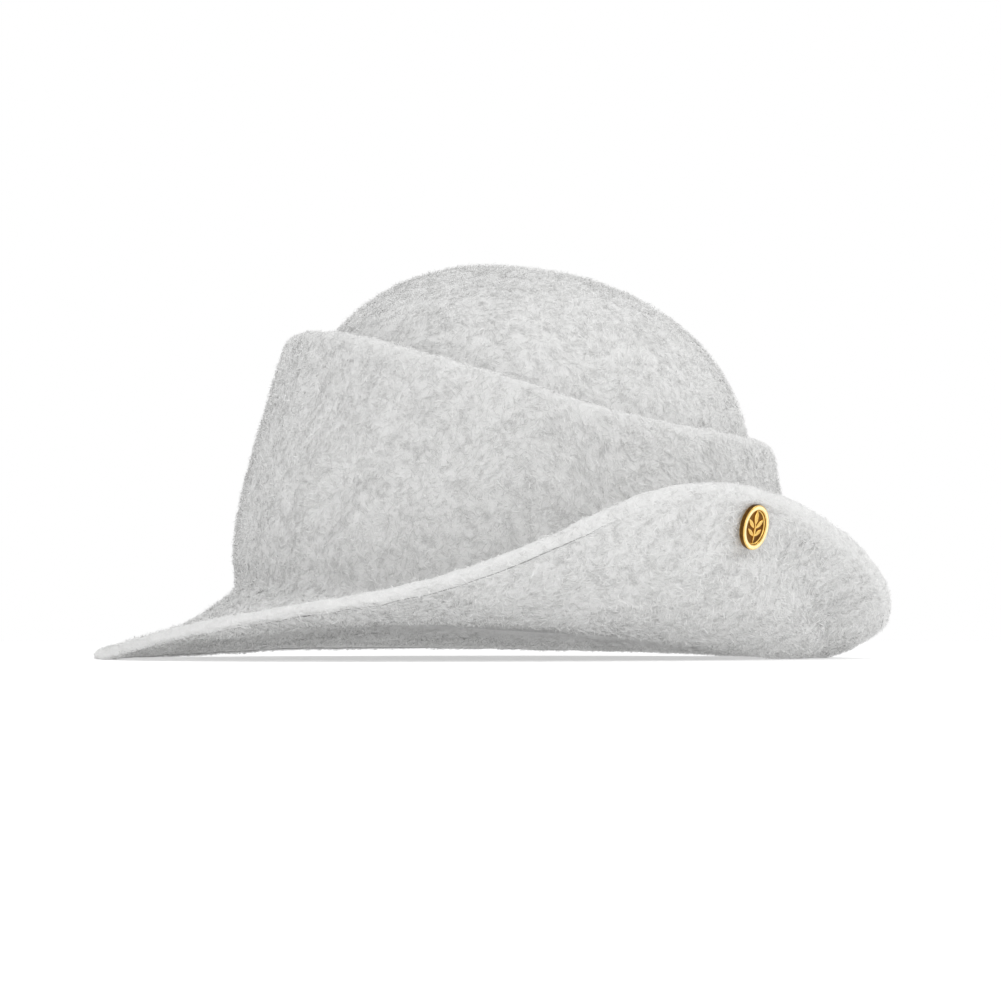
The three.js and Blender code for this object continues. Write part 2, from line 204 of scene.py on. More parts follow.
@dataclass(frozen=True)
class HeadFrame:
    """The frame in which the crown is upright: the hat leans a little where it rests."""

    pitch: float = math.radians(-2.1)
    roll: float = math.radians(3.3)
    shift: tuple[float, float, float] = (3.09 * MM, 5.77 * MM, 11.5 * MM)
    width: float = 172 * MM
    length: float = 198 * MM
    wall: float = 2.3 * MM

    def lean(self) -> np.ndarray:
        """Returns the turn from the head frame to the frame at rest."""
        turn = Matrix.Rotation(self.pitch, 3, "X") @ Matrix.Rotation(self.roll, 3, "Y")
        return np.array(turn)

    def into(self, points: np.ndarray) -> np.ndarray:
        """Returns points at rest as seen in the head frame."""
        return (points - np.array(self.shift)) @ self.lean()

    def out_of(self, points: np.ndarray) -> np.ndarray:
        """Returns points of the head frame as they lie at rest."""
        return points @ self.lean().T + np.array(self.shift)

    @staticmethod
    def azimuth(head: np.ndarray) -> np.ndarray:
        """Returns the azimuths of points of the head frame, in radians."""
        return np.arctan2(head[:, 0], -head[:, 1])

    @staticmethod
    def reach(head: np.ndarray) -> np.ndarray:
        """Returns how far points of the head frame lie from its axis."""
        return np.hypot(head[:, 0], head[:, 1])

    @staticmethod
    def along(azimuth: np.ndarray, drop: float = 0.0) -> np.ndarray:
        """Returns directions round the crown at azimuths, with a drop along the axis."""
        return np.column_stack([np.cos(azimuth), np.sin(azimuth), 0 * azimuth - drop])

    @staticmethod
    def ring(azimuth: np.ndarray, reach: np.ndarray, height: np.ndarray) -> np.ndarray:
        """Returns points of the head frame from their azimuths, reaches and heights."""
        return np.column_stack([reach * np.sin(azimuth), -reach * np.cos(azimuth), height])

    def headline(self, azimuth: np.ndarray) -> np.ndarray:
        """Returns how far the middle of the felt lies from the axis where crown and brim meet."""
        sine, cosine = np.sin(azimuth), np.cos(azimuth)
        return 1 / np.hypot(2 * sine / self.width, 2 * cosine / self.length) + self.wall


HEAD = HeadFrame()


# Height of the crown's foot above the headline, in millimetres, by azimuth
FOOT = {
    0: -0.5, 24: -2.6, 48: -3.9, 75: -5.0, 90: -4.5, 110: -2.8, 135: -1.2,
    165: 0.0, 225: 0.0, 255: 0.5, 285: 2.2, 310: 3.3, 335: 1.8,
}

# How far the hair lies open over the hem's stitches, from 0 to 1, by azimuth
PARTING = {0: 1.0, 12: 1.0, 24: 0.35, 34: 0.0, 72: 0.0, 84: 0.6, 240: 0.8, 300: 1.0}

# How sharply the felt bends outwards, as one over the radius in metres: where a rim starts to
# show, and how much more makes it a full rim
RIM_STARTS, RIM_GROWS = 40.0, 110.0


def foot_height(azimuth: np.ndarray) -> np.ndarray:
    """Returns the height of the crown's foot, in metres, at azimuths in radians."""
    return np.interp(np.degrees(azimuth), list(FOOT), list(FOOT.values()), period=360) * MM


# Finishes


def new_material(name: str) -> tuple[bpy.types.Material, bpy.types.Node]:
    """Makes a material with one Principled shader.

    Args:
        name: the material's name.

    Returns:
        The material and its shader node.
    """
    material = bpy.data.materials.new(name)
    material.use_nodes = True
    return material, material.node_tree.nodes["Principled BSDF"]


def constant(shader: bpy.types.Node, **values: object) -> None:
    """Sets a shader's own sockets. An underscore in a name stands for a space."""
    for name, value in values.items():
        shader.inputs[name.replace("_", " ")].default_value = value


def fibre_grain() -> bpy.types.NodeTree:
    """Builds the shared grain of matted fibres, once.

    Returns:
        A node group that turns a place into a shade, from 0 to 1, and a height.
    """
    name = "fibre_grain"
    if name in bpy.data.node_groups:
        return bpy.data.node_groups[name]
    group = bpy.data.node_groups.new(name, "ShaderNodeTree")
    face = group.interface
    face.new_socket("Place", in_out="INPUT", socket_type="NodeSocketVector")
    for label, value in (("Clump Scale", 120.0), ("Fibre Scale", 900.0), ("Clump Share", 0.5)):
        socket = face.new_socket(label, in_out="INPUT", socket_type="NodeSocketFloat")
        socket.default_value = value
    face.new_socket("Shade", in_out="OUTPUT", socket_type="NodeSocketFloat")
    face.new_socket("Height", in_out="OUTPUT", socket_type="NodeSocketFloat")
    nodes, links = group.nodes, group.links
    given, made = nodes.new("NodeGroupInput"), nodes.new("NodeGroupOutput")
    clumps, fibres = nodes.new("ShaderNodeTexNoise"), nodes.new("ShaderNodeTexNoise")
    clumps.inputs["Detail"].default_value = 3.0
    clumps.inputs["Distortion"].default_value = 0.8
    fibres.inputs["Detail"].default_value = 4.0
    fibres.inputs["Distortion"].default_value = 2.2
    for noise, scale in ((clumps, "Clump Scale"), (fibres, "Fibre Scale")):
        links.new(given.outputs["Place"], noise.inputs["Vector"])
        links.new(given.outputs[scale], noise.inputs["Scale"])
    blend = nodes.new("ShaderNodeMix")
    links.new(given.outputs["Clump Share"], blend.inputs["Factor"])
    links.new(fibres.outputs["Fac"], blend.inputs["A"])
    links.new(clumps.outputs["Fac"], blend.inputs["B"])
    spread = nodes.new("ShaderNodeMapRange")
    spread.inputs["From Min"].default_value = 0.32
    spread.inputs["From Max"].default_value = 0.68
    links.new(blend.outputs["Result"], spread.inputs["Value"])
    links.new(spread.outputs["Result"], made.inputs["Shade"])
    links.new(blend.outputs["Result"], made.inputs["Height"])
    return group


def place_grain(
    material: bpy.types.Material, clump: float, fibre: float, share: float
) -> bpy.types.Node:
    """Places the fibre grain in a material, on the object's own coordinates.

    Args:
        material: the material that takes the group.
        clump: scale of the clumps.
        fibre: scale of the single fibres.
        share: how much the clumps count, from 0 to 1.

    Returns:
        The group's node.
    """
    nodes, links = material.node_tree.nodes, material.node_tree.links
    grain = nodes.new("ShaderNodeGroup")
    grain.node_tree = fibre_grain()
    grain.inputs["Clump Scale"].default_value = clump
    grain.inputs["Fibre Scale"].default_value = fibre
    grain.inputs["Clump Share"].default_value = share
    where = nodes.new("ShaderNodeTexCoord")
    links.new(where.outputs["Object"], grain.inputs["Place"])
    return grain


def between(
    material: bpy.types.Material,
    factor: bpy.types.NodeSocket,
    low: tuple[float, float, float],
    high: tuple[float, float, float],
) -> bpy.types.NodeSocket:
    """Mixes two colours by a value that changes over the surface.

    Args:
        material: the material that takes the mix.
        factor: the socket of the value, from 0 to 1.
        low: the colour where the value is 0.
        high: the colour where it is 1.

    Returns:
        The mixed colour's socket.
    """
    nodes, links = material.node_tree.nodes, material.node_tree.links
    mix = nodes.new("ShaderNodeMix")
    mix.data_type = "RGBA"
    mix.inputs["A"].default_value = (*low, 1.0)
    mix.inputs["B"].default_value = (*high, 1.0)
    links.new(factor, mix.inputs["Factor"])
    return mix.outputs["Result"]


def relief(
    material: bpy.types.Material,
    shader: bpy.types.Node,
    height: bpy.types.NodeSocket,
    depth: float,
) -> None:
    """Gives a shader a bump.

    Args:
        material: the material that takes the bump.
        shader: its shader.
        height: the socket of the height, from 0 to 1.
        depth: how deep the bump is, in metres.
    """
    nodes, links = material.node_tree.nodes, material.node_tree.links
    bump = nodes.new("ShaderNodeBump")
    bump.inputs["Distance"].default_value = depth
    links.new(height, bump.inputs["Height"])
    links.new(bump.outputs["Normal"], shader.inputs["Normal"])


@dataclass(frozen=True)
class FeltFinish:
    """The pressed felt under the nap: matt, with matted fibres."""

    low: tuple[float, float, float] = (0.70, 0.70, 0.695)
    high: tuple[float, float, float] = (0.84, 0.84, 0.835)
    depth: float = 0.35 * MM

    def material(self) -> bpy.types.Material:
        """Makes the felt's material.

        Returns:
            The material, with the fibre grain in its colour and its bump.
        """
        material, shader = new_material("white_felt")
        grain = place_grain(material, clump=520.0, fibre=2400.0, share=0.3)
        links = material.node_tree.links
        colour = between(material, grain.outputs["Shade"], self.low, self.high)
        links.new(colour, shader.inputs["Base Color"])
        relief(material, shader, grain.outputs["Height"], self.depth)
        constant(shader, Roughness=0.95, Specular_IOR_Level=0.15, Sheen_Weight=0.6)
        constant(shader, Sheen_Roughness=0.4)
        return material


@dataclass(frozen=True)
class NapFinish:
    """The long white hair: darker at its roots, a painted shade where the hairs cover each other,
    and each hair a little different.
    """

    # Root to tip: the darker roots are painted shade of the hairs that lie over them.
    root: tuple[float, float, float] = (0.78, 0.78, 0.775)
    tip: tuple[float, float, float] = (0.97, 0.97, 0.965)
    dull: tuple[float, float, float] = (0.46, 0.46, 0.455)
    dulling: float = 0.7

    def material(self) -> bpy.types.Material:
        """Makes the hair's material.

        Returns:
            The material, which reads the map named strand.
        """
        material, shader = new_material("white_nap")
        nodes, links = material.node_tree.nodes, material.node_tree.links
        where = nodes.new("ShaderNodeUVMap")
        where.uv_map = "strand"
        parts = nodes.new("ShaderNodeSeparateXYZ")
        links.new(where.outputs["UV"], parts.inputs["Vector"])
        # Painted shade: the colour darkens from tip to root.
        rise = between(material, parts.outputs["Y"], self.root, self.tip)
        mix = nodes.new("ShaderNodeMix")
        mix.data_type = "RGBA"
        mix.inputs["B"].default_value = (*self.dull, 1.0)
        dulled = nodes.new("ShaderNodeMath")
        dulled.operation = "MULTIPLY"
        dulled.inputs[1].default_value = self.dulling
        links.new(parts.outputs["X"], dulled.inputs[0])
        links.new(dulled.outputs["Value"], mix.inputs["Factor"])
        links.new(rise, mix.inputs["A"])
        links.new(mix.outputs["Result"], shader.inputs["Base Color"])
        constant(shader, Roughness=0.8, Specular_IOR_Level=0.25, Sheen_Weight=0.6)
        constant(shader, Sheen_Roughness=0.35)
        return material


@dataclass(frozen=True)
class RibbonFinish:
    """The ribbed ribbon of the sweatband."""

    low: tuple[float, float, float] = (0.60, 0.60, 0.60)
    high: tuple[float, float, float] = (0.70, 0.70, 0.695)
    ribs: float = 1500.0
    grain_share: float = 0.7
    depth: float = 0.05 * MM

    def material(self) -> bpy.types.Material:
        """Makes the ribbon's material.

        Returns:
            The material, which reads the map named ribbon_run, in metres.
        """
        material, shader = new_material("grey_ribbon")
        nodes, links = material.node_tree.nodes, material.node_tree.links
        where = nodes.new("ShaderNodeUVMap")
        where.uv_map = "ribbon_run"
        ribs = nodes.new("ShaderNodeTexWave")
        ribs.bands_direction = "X"
        ribs.inputs["Scale"].default_value = self.ribs / TURN
        ribs.inputs["Distortion"].default_value = 0.4
        links.new(where.outputs["UV"], ribs.inputs["Vector"])
        grain = place_grain(material, clump=300.0, fibre=2600.0, share=0.4)
        mix = nodes.new("ShaderNodeMix")
        mix.inputs["Factor"].default_value = self.grain_share
        links.new(ribs.outputs["Fac"], mix.inputs["A"])
        links.new(grain.outputs["Shade"], mix.inputs["B"])
        colour = between(material, mix.outputs["Result"], self.low, self.high)
        links.new(colour, shader.inputs["Base Color"])
        relief(material, shader, mix.outputs["Result"], self.depth)
        constant(shader, Roughness=0.75, Specular_IOR_Level=0.25, Sheen_Weight=0.2)
        return material


@dataclass(frozen=True)
class ThreadFinish:
    """Thread, and the dark band of painted shade in the hem's furrow: matt, with short fine
    fibres.
    """

    name: str
    low: tuple[float, float, float]
    high: tuple[float, float, float]
    depth: float = 0.05 * MM

    def material(self) -> bpy.types.Material:
        """Makes the thread's material.

        Returns:
            The material, with the fibre grain in its colour and its bump.
        """
        material, shader = new_material(self.name)
        grain = place_grain(material, clump=900.0, fibre=5200.0, share=0.3)
        links = material.node_tree.links
        colour = between(material, grain.outputs["Shade"], self.low, self.high)
        links.new(colour, shader.inputs["Base Color"])
        relief(material, shader, grain.outputs["Height"], self.depth)
        constant(shader, Roughness=0.6, Specular_IOR_Level=0.3)
        return material


GREY_THREAD = ThreadFinish("grey_thread", (0.17, 0.17, 0.17), (0.30, 0.30, 0.30))
# The dark band along the hem is painted shade: it stands for the shadow in the furrow that the
# stitches press in.
FURROW_SHADE = ThreadFinish("painted_furrow_shade", (0.22, 0.22, 0.22), (0.38, 0.38, 0.38))
PALE_THREAD = ThreadFinish("pale_thread", (0.62, 0.62, 0.62), (0.80, 0.80, 0.80))


@dataclass(frozen=True)
class GiltFinish:
    """Gilt with fine handling marks: its roughness runs from smooth to worn."""

    name: str
    low: tuple[float, float, float]
    high: tuple[float, float, float]
    smooth: float
    worn: float
    depth: float = 0.01 * MM

    def material(self) -> bpy.types.Material:
        """Makes the gilt's material.

        Returns:
            The material, whose gloss changes over the surface.
        """
        material, shader = new_material(self.name)
        nodes, links = material.node_tree.nodes, material.node_tree.links
        grain = place_grain(material, clump=700.0, fibre=4200.0, share=0.6)
        colour = between(material, grain.outputs["Shade"], self.low, self.high)
        links.new(colour, shader.inputs["Base Color"])
        gloss = nodes.new("ShaderNodeMapRange")
        gloss.inputs["To Min"].default_value = self.smooth
        gloss.inputs["To Max"].default_value = self.worn
        links.new(grain.outputs["Shade"], gloss.inputs["Value"])
        links.new(gloss.outputs["Result"], shader.inputs["Roughness"])
        relief(material, shader, grain.outputs["Height"], self.depth)
        constant(shader, Metallic=1.0)
        return material


POLISHED_GILT = GiltFinish(
    "polished_gilt", (0.70, 0.43, 0.10), (0.90, 0.63, 0.22), smooth=0.10, worn=0.22
)
# Dark gilt: the field's own colour, and painted shade on the badge's steep walls.
DARK_GILT_FIELD_AND_SHADE = GiltFinish("dark_gilt_field_and_painted_shade", (0.12, 0.05, 0.01), (0.26, 0.13, 0.03), smooth=0.28, worn=0.50)
# Pale gilt on the rim's top: a painted highlight.
PAINTED_HIGHLIGHT_GILT = GiltFinish("painted_highlight_gilt", (0.92, 0.74, 0.36), (1.00, 0.88, 0.56), smooth=0.08, worn=0.18)


# The felt


@dataclass
class FeltBody:
    """The blocked felt: dome, fold, wall and brim, smoothed from the solid and slightly lumpy."""

    node: str = "felt_body"
    name: str = "felt_shell"
    level: int = 2
    lump_size: float = 7 * MM
    lump_height: float = 1.1 * MM
    crease_depth: float = 1.0 * MM
    crease_width: float = 2.0 * MM
    crease_run: float = 15 * MM
    crease_fade: float = 3 * MM
    crease_limit: float = 12 * MM
    # Azimuth in degrees, and height above the headline in millimetres
    valley: tuple[tuple[float, float], ...] = ((43, 24), (51, 15), (58, 9), (70, 5), (84, 2))
    valley_from: tuple[float, float] = (38, 8)
    valley_to: tuple[float, float] = (92, 22)
    valley_depth: float = 2.2 * MM
    valley_width: float = 8 * MM
    valley_push: tuple[float, float] = (0.9, 0.35)
    brim_start: float = 8 * MM
    brim_fade: float = 10 * MM

    def hollowed(self, points: np.ndarray) -> np.ndarray:
        """Presses in the soft valley beside the badge.

        Its two ends hold the azimuth where the valley is gone and how many degrees it takes
        to fade, and its push says how far it goes inwards and up.

        Args:
            points: the felt's points at rest, one row each.

        Returns:
            The moved points.
        """
        head = HEAD.into(points)
        azimuth = np.degrees(HEAD.azimuth(head))
        turns, heights = np.array(self.valley).T
        middle = np.interp(azimuth, turns, heights) * MM
        start, fade_in = self.valley_from
        end, fade_out = self.valley_to
        ends = np.clip((azimuth - start) / fade_in, 0, 1)
        ends = ends * np.clip((end - azimuth) / fade_out, 0, 1)
        across = np.exp(-(((head[:, 2] - middle) / self.valley_width) ** 2))
        past_headline = HEAD.reach(head) - HEAD.headline(np.radians(azimuth))
        on_brim = np.clip((past_headline - self.brim_start) / self.brim_fade, 0, 1)
        depth = self.valley_depth * ends * across * on_brim
        inwards, up = self.valley_push
        inward = np.column_stack([-np.sin(np.radians(azimuth)), np.cos(np.radians(azimuth))])
        head[:, :2] += inward * (inwards * depth)[:, None]
        head[:, 2] += up * depth
        return HEAD.out_of(head)

    def creased(self, points: np.ndarray) -> np.ndarray:
        """Presses in the pull of the badge's post, below the badge.

        Args:
            points: the felt's points at rest, one row each.

        Returns:
            The moved points.
        """
        badge = Badge()
        local = (points - np.array(badge.middle)) @ np.array(badge.place().to_3x3())
        down = np.clip(-local[:, 1] / self.crease_run, 0.0, 1.0)
        side = np.exp(-((local[:, 0] / self.crease_width) ** 2))
        outer = np.clip(1 + local[:, 2] / self.crease_fade, 0.0, 1.0)
        near = np.abs(local[:, 2]) < self.crease_limit
        depth = self.crease_depth * side * np.sin(math.pi * down) * outer * near
        return points - depth[:, None] * np.array(badge.out)

    @staticmethod
    def bend(felt: bpy.types.Object) -> np.ndarray:
        """Measures how sharply the felt bends outwards, which shows its rims.

        Args:
            felt: the finished felt.

        Returns:
            For each point, from 0 to 1.
        """
        mesh = felt.data
        ends = np.empty(len(mesh.edges) * 2, np.int32)
        mesh.edges.foreach_get("vertices", ends)
        ends = ends.reshape(-1, 2)
        normal = np.empty(len(mesh.vertices) * 3, np.float32)
        mesh.vertices.foreach_get("normal", normal)
        normal = normal.reshape(-1, 3)
        points = places(felt)
        total, share = np.zeros(len(points)), np.zeros(len(points))
        for a, b in (ends.T, ends.T[::-1]):
            step = points[b] - points[a]
            length = np.maximum(np.sum(step * step, axis=1), 1e-12)
            curve = -2 * np.sum(step * normal[a], axis=1) / length
            np.add.at(total, a, curve)
            np.add.at(share, a, 1)
        curve = total / np.maximum(share, 1)
        for _ in range(2):
            spread = np.zeros(len(points))
            for a, b in (ends.T, ends.T[::-1]):
                np.add.at(spread, a, curve[b])
            curve = (curve + spread / np.maximum(share, 1)) / 2
        return np.clip((curve - RIM_STARTS) / RIM_GROWS, 0.0, 1.0)

    def build(self) -> bpy.types.Object:
        """Smooths the solid's mesh and gives it its lumps, its valley and its crease.

        Returns:
            The felt as one smooth closed mesh.
        """
        felt = fresh_copy(self.node, self.name)
        with editing(felt):
            bpy.ops.mesh.select_all(action="SELECT")
            bpy.ops.mesh.tris_convert_to_quads(
                face_threshold=math.radians(50), shape_threshold=math.radians(80)
            )
        finish_with(felt, "SUBSURF", levels=self.level, render_levels=self.level)
        lumps = bpy.data.textures.new("felt_lumps", "CLOUDS")
        lumps.noise_scale = self.lump_size
        lumps.noise_depth = 2
        finish_with(
            felt,
            "DISPLACE",
            texture=lumps,
            texture_coords="LOCAL",
            strength=self.lump_height,
            mid_level=0.5,
        )
        points = self.creased(self.hollowed(places(felt)))
        points[:, 2] = np.maximum(points[:, 2], 0.0)
        put(felt, points)
        alone(felt)
        bpy.ops.object.shade_smooth()
        return felt

    def dress(self, felt: bpy.types.Object) -> None:
        """Gives the felt its finish and puts it on the hat's body."""
        felt.data.materials.append(FeltFinish().material())
        belongs(felt, "felt", self.node)


# The hem


@dataclass
class HemLine:
    """The inner edge of the folded hem, all round the brim, read from the solid's own step."""

    node: str = "felt_body"
    sharp: float = math.radians(60)
    outside: float = 110 * MM
    badge_azimuth: float = math.radians(37.2)
    badge_clear: float = math.radians(1.1)
    least_step: float = math.radians(1.5)
    smoothing: int = 23
    samples: int = 1440

    def __post_init__(self) -> None:
        """Reads the step's convex edges and keeps them as radius and height by azimuth."""
        copy = fresh_copy(self.node, "hem_guide")
        mesh = bmesh.new()
        mesh.from_mesh(copy.data)
        mesh.normal_update()
        found = [
            (edge.verts[0].co + edge.verts[1].co) / 2
            for edge in mesh.edges
            if len(edge.link_faces) == 2 and edge.calc_face_angle_signed() > self.sharp
        ]
        mesh.free()
        bpy.data.objects.remove(copy)
        head = HEAD.into(np.array(found))
        azimuth, reach = HEAD.azimuth(head) % TURN, HEAD.reach(head)
        by_badge = np.abs(azimuth - self.badge_azimuth) < self.badge_clear
        keep = (reach > self.outside) & ~by_badge
        rows = np.column_stack([azimuth, reach, head[:, 2]])[keep]
        rows = rows[np.lexsort((rows[:, 1], np.round(rows[:, 0], 3)))]
        rows = rows[np.append(True, np.diff(rows[:, 0]) > self.least_step)]
        even = np.arange(self.samples) * TURN / self.samples
        window = np.hanning(self.smoothing)
        window /= window.sum()
        self.azimuths = even
        self.reach, self.height = (
            self.softened(np.interp(even, rows[:, 0], rows[:, k], period=TURN), window)
            for k in (1, 2)
        )

    @staticmethod
    def softened(values: np.ndarray, window: np.ndarray) -> np.ndarray:
        """Rounds the corners of a closed run of values.

        Args:
            values: the run.
            window: the weights of a value and its neighbours, which add up to one.

        Returns:
            The softened run, as long as before.
        """
        half = len(window) // 2
        wrapped = np.concatenate([values[-half:], values, values[:half]])
        return np.convolve(wrapped, window, mode="valid")

    def at(self, azimuth: np.ndarray) -> np.ndarray:
        """Finds where the line runs.

        Args:
            azimuth: azimuths in radians.

        Returns:
            The line's points there, in the head frame.
        """
        reach = np.interp(azimuth, self.azimuths, self.reach, period=TURN)
        height = np.interp(azimuth, self.azimuths, self.height, period=TURN)
        return HEAD.ring(azimuth, reach, height)

    def parted(self, points: np.ndarray, clear: float) -> np.ndarray:
        """Moves points away from the line where the hair lies open over it.

        Args:
            points: points at rest.
            clear: how far from the line they are to be where the hair is fully open.

        Returns:
            The moved points.
        """
        head = HEAD.into(points)
        gap = head - self.at(HEAD.azimuth(head))
        apart = np.linalg.norm(gap, axis=1, keepdims=True)
        clear = clear * self.openness(points)[:, None]
        push = gap / np.maximum(apart, 1e-9) * np.clip(clear - apart, 0.0, None)
        return points + push @ HEAD.lean().T

    @staticmethod
    def openness(points: np.ndarray) -> np.ndarray:
        """Returns how far the hair lies open over the row near points at rest, from 0 to 1."""
        azimuth = np.degrees(HEAD.azimuth(HEAD.into(points)))
        return np.interp(azimuth, list(PARTING), list(PARTING.values()), period=360)

    def evenly(self, pitch: float) -> np.ndarray:
        """Spaces points evenly along the line.

        Args:
            pitch: about how far apart they are.

        Returns:
            The points at rest.
        """
        loop = self.at(np.append(self.azimuths, TURN))
        run = np.append(0, np.cumsum(np.linalg.norm(np.diff(loop, axis=0), axis=1)))
        count = int(run[-1] / pitch)
        along = np.arange(count) * run[-1] / count
        azimuth = np.interp(along, run, np.append(self.azimuths, TURN))
        return HEAD.out_of(self.at(azimuth))


def skin_of(piece: bpy.types.Object) -> BVHTree:
    """Returns a search tree over a finished mesh."""
    return BVHTree.FromObject(piece, bpy.context.evaluated_depsgraph_get())


def nearest(skin: BVHTree, points: np.ndarray) -> tuple[np.ndarray, np.ndarray]:
    """Finds the nearest places on a skin.

    Args:
        skin: the skin's search tree.
        points: one point in each row.

    Returns:
        The nearest places and the normals there, one row each.
    """
    spots = np.empty_like(points)
    normals = np.empty_like(points)
    for i, point in enumerate(points):
        spots[i], normals[i] = skin.find_nearest(point)[:2]
    return spots, normals


def array_mesh(
    name: str, bead: bpy.types.Object, frames: np.ndarray, centres: np.ndarray
) -> bpy.types.Object:
    """Copies one modelled bead to many places as one joined mesh, and removes the bead.

    Args:
        name: the new object's name.
        bead: the shape to copy, in triangles, modelled round the origin.
        frames: for each copy, three rows with the directions of the bead's axes.
        centres: the place of each copy.

    Returns:
        The joined object.
    """
    shape = places(bead)
    threes = np.array([list(p.vertices) for p in bead.data.polygons])
    points = np.einsum("ni,kij->knj", shape, frames) + centres[:, None, :]
    steps = np.arange(len(centres))[:, None, None] * len(shape)
    polygons = (threes[None] + steps).reshape(-1, 3).tolist()
    mesh = bpy.data.meshes.new(name)
    mesh.from_pydata(points.reshape(-1, 3).tolist(), [], polygons)
    mesh.update()
    bpy.data.objects.remove(bead)
    piece = linked(name, mesh)
    alone(piece)
    bpy.ops.object.shade_smooth()
    return piece


def thread_bead(length: float, width: float, dip: float = 0.9) -> bpy.types.Object:
    """Models one stitch of thread: a rounded bar that dips into the felt at both ends.

    Args:
        length: along X.
        width: across, along Y.
        dip: how far the ends go down, in widths.

    Returns:
        The stitch, round the origin.
    """
    bpy.ops.mesh.primitive_cylinder_add(
        vertices=6, radius=width / 2, depth=length, rotation=(0, math.pi / 2, 0)
    )
    bead = bpy.context.object
    bpy.ops.object.transform_apply(location=True, rotation=True, scale=True)
    finish_with(bead, "BEVEL", width=width / 4, segments=1, limit_method="ANGLE")
    with editing(bead):
        bpy.ops.mesh.select_all(action="SELECT")
        bpy.ops.mesh.quads_convert_to_tris()
    points = places(bead)
    points[:, 2] -= width * dip * (2 * points[:, 0] / length) ** 2
    put(bead, points)
    return bead


@dataclass
class HemStitching:
    """The machine stitches that hold the hem, and a dark band that paints the shade of the furrow
    that they press in the felt.

    Rise and sink are in stitch widths: the row lies up where the hair is open and down where
    it isn't. The furrow's least is its share of the full size where the hair is closed.
    """

    line: HemLine
    pitch: float = 2.9 * MM
    length: float = 2.1 * MM
    width: float = 0.4 * MM
    rise: float = 1.4
    sink: float = 1.0
    furrow_pitch: float = 1.2 * MM
    furrow_width: float = 0.8 * MM
    furrow_height: float = 0.14 * MM
    furrow_least: float = 0.25
    furrow_sink: float = 1.5

    def lay(self, skin: BVHTree, pitch: float) -> tuple[np.ndarray, np.ndarray]:
        """Lays evenly spaced places of the row on the felt.

        Args:
            skin: the felt's search tree.
            pitch: about how far apart they are.

        Returns:
            For each place, the directions along, across and out of the felt, and the place.
        """
        run = self.line.evenly(pitch)
        heading = unit(np.roll(run, -1, axis=0) - np.roll(run, 1, axis=0))
        spots, normal = nearest(skin, run)
        across = unit(np.cross(normal, heading))
        heading = unit(np.cross(across, normal))
        return np.stack([heading, across, normal], axis=1), spots

    def stitches(self, skin: BVHTree) -> bpy.types.Object:
        """Lays the whole row of stitches on the felt.

        Args:
            skin: the felt's search tree.

        Returns:
            The stitches as one object.
        """
        frames, spots = self.lay(skin, self.pitch)
        bead = thread_bead(self.length, self.width)
        rise = self.width * (self.rise * self.line.openness(spots) - self.sink)[:, None]
        return array_mesh("hem_stitches", bead, frames, spots + frames[:, 2] * rise)

    def furrow(self, skin: BVHTree) -> bpy.types.Object:
        """Builds the furrow's painted shade, a closed flat band that follows the row.

        Args:
            skin: the felt's search tree.

        Returns:
            The band.
        """
        frames, spots = self.lay(skin, self.furrow_pitch)
        half, rise = self.furrow_width / 2, self.furrow_height
        ring = np.array([[0, -half, 0], [0, 0, rise], [0, half, 0], [0, 0, -rise]])
        open_here = self.line.openness(spots)[:, None, None]
        sunk = frames[:, 2] * (rise * self.furrow_sink) * (1 - open_here[:, 0])
        least = self.furrow_least
        points = np.einsum("ni,kij->knj", ring, frames) * (least + (1 - least) * open_here)
        points += (spots - sunk)[:, None, :]
        count = len(spots)
        here = np.arange(count)[:, None] * 4 + np.arange(4)
        there = np.roll(here, -1, axis=0)
        faces = np.stack(
            [here, there, np.roll(there, -1, axis=1), np.roll(here, -1, axis=1)], axis=2
        )
        mesh = bpy.data.meshes.new("hem_furrow_shade")
        mesh.from_pydata(points.reshape(-1, 3).tolist(), [], faces.reshape(-1, 4).tolist())
        mesh.update()
        furrow = linked("hem_furrow_shade", mesh)
        with editing(furrow):
            bpy.ops.mesh.select_all(action="SELECT")
            bpy.ops.mesh.normals_make_consistent(inside=False)
        return furrow

    @staticmethod
    def dress(stitches: bpy.types.Object, furrow: bpy.types.Object) -> None:
        """Gives the hem its finishes and puts it on the hat's body.

        Args:
            stitches: the row of stitches.
            furrow: the band of painted furrow shade under it.
        """
        stitches.data.materials.append(GREY_THREAD.material())
        furrow.data.materials.append(FURROW_SHADE.material())
        belongs(stitches, "felt")
        belongs(furrow, "felt")


# The nap


class Side(Enum):
    """The sides of the felt that wear hair, with the number of hairs on each."""

    DOME = ("nap_dome", 50000)
    WALL_FRONT = ("nap_wall_front", 46500)
    WALL_BACK = ("nap_wall_back", 45500)
    BRIM_TOP = ("nap_brim_top", 44000)
    BRIM_UNDER = ("nap_brim_under", 64000)


@dataclass(frozen=True)
class Whorls:
    """A smooth field of directions that turns in patches, as brushed hair lies."""

    seed: int = 7
    waves: int = 48
    shortest: float = 14 * MM
    longest: float = 46 * MM
    strength: float = 1.5

    def at(self, points: np.ndarray) -> np.ndarray:
        """Works out the field's directions.

        Args:
            points: points at rest.

        Returns:
            A direction at each point, before it is laid on the skin.
        """
        draw = np.random.default_rng(self.seed)
        travel = unit(draw.normal(size=(self.waves, 3)))
        travel *= TURN / draw.uniform(self.shortest, self.longest, (self.waves, 1))
        push = draw.normal(size=(self.waves, 3)) * self.strength / math.sqrt(self.waves)
        phase = draw.uniform(0, TURN, self.waves)
        return np.sin(points @ travel.T + phase) @ push


@dataclass(frozen=True)
class Ground:
    """The felt's faces that hair grows on: corners, normals, areas and outward bend."""

    triangles: np.ndarray
    normals: np.ndarray
    area: np.ndarray
    bend: np.ndarray

    def part(self, there: np.ndarray) -> "Ground":
        """Returns only the faces that a list of true and false picks."""
        return Ground(
            self.triangles[there], self.normals[there], self.area[there], self.bend[there]
        )


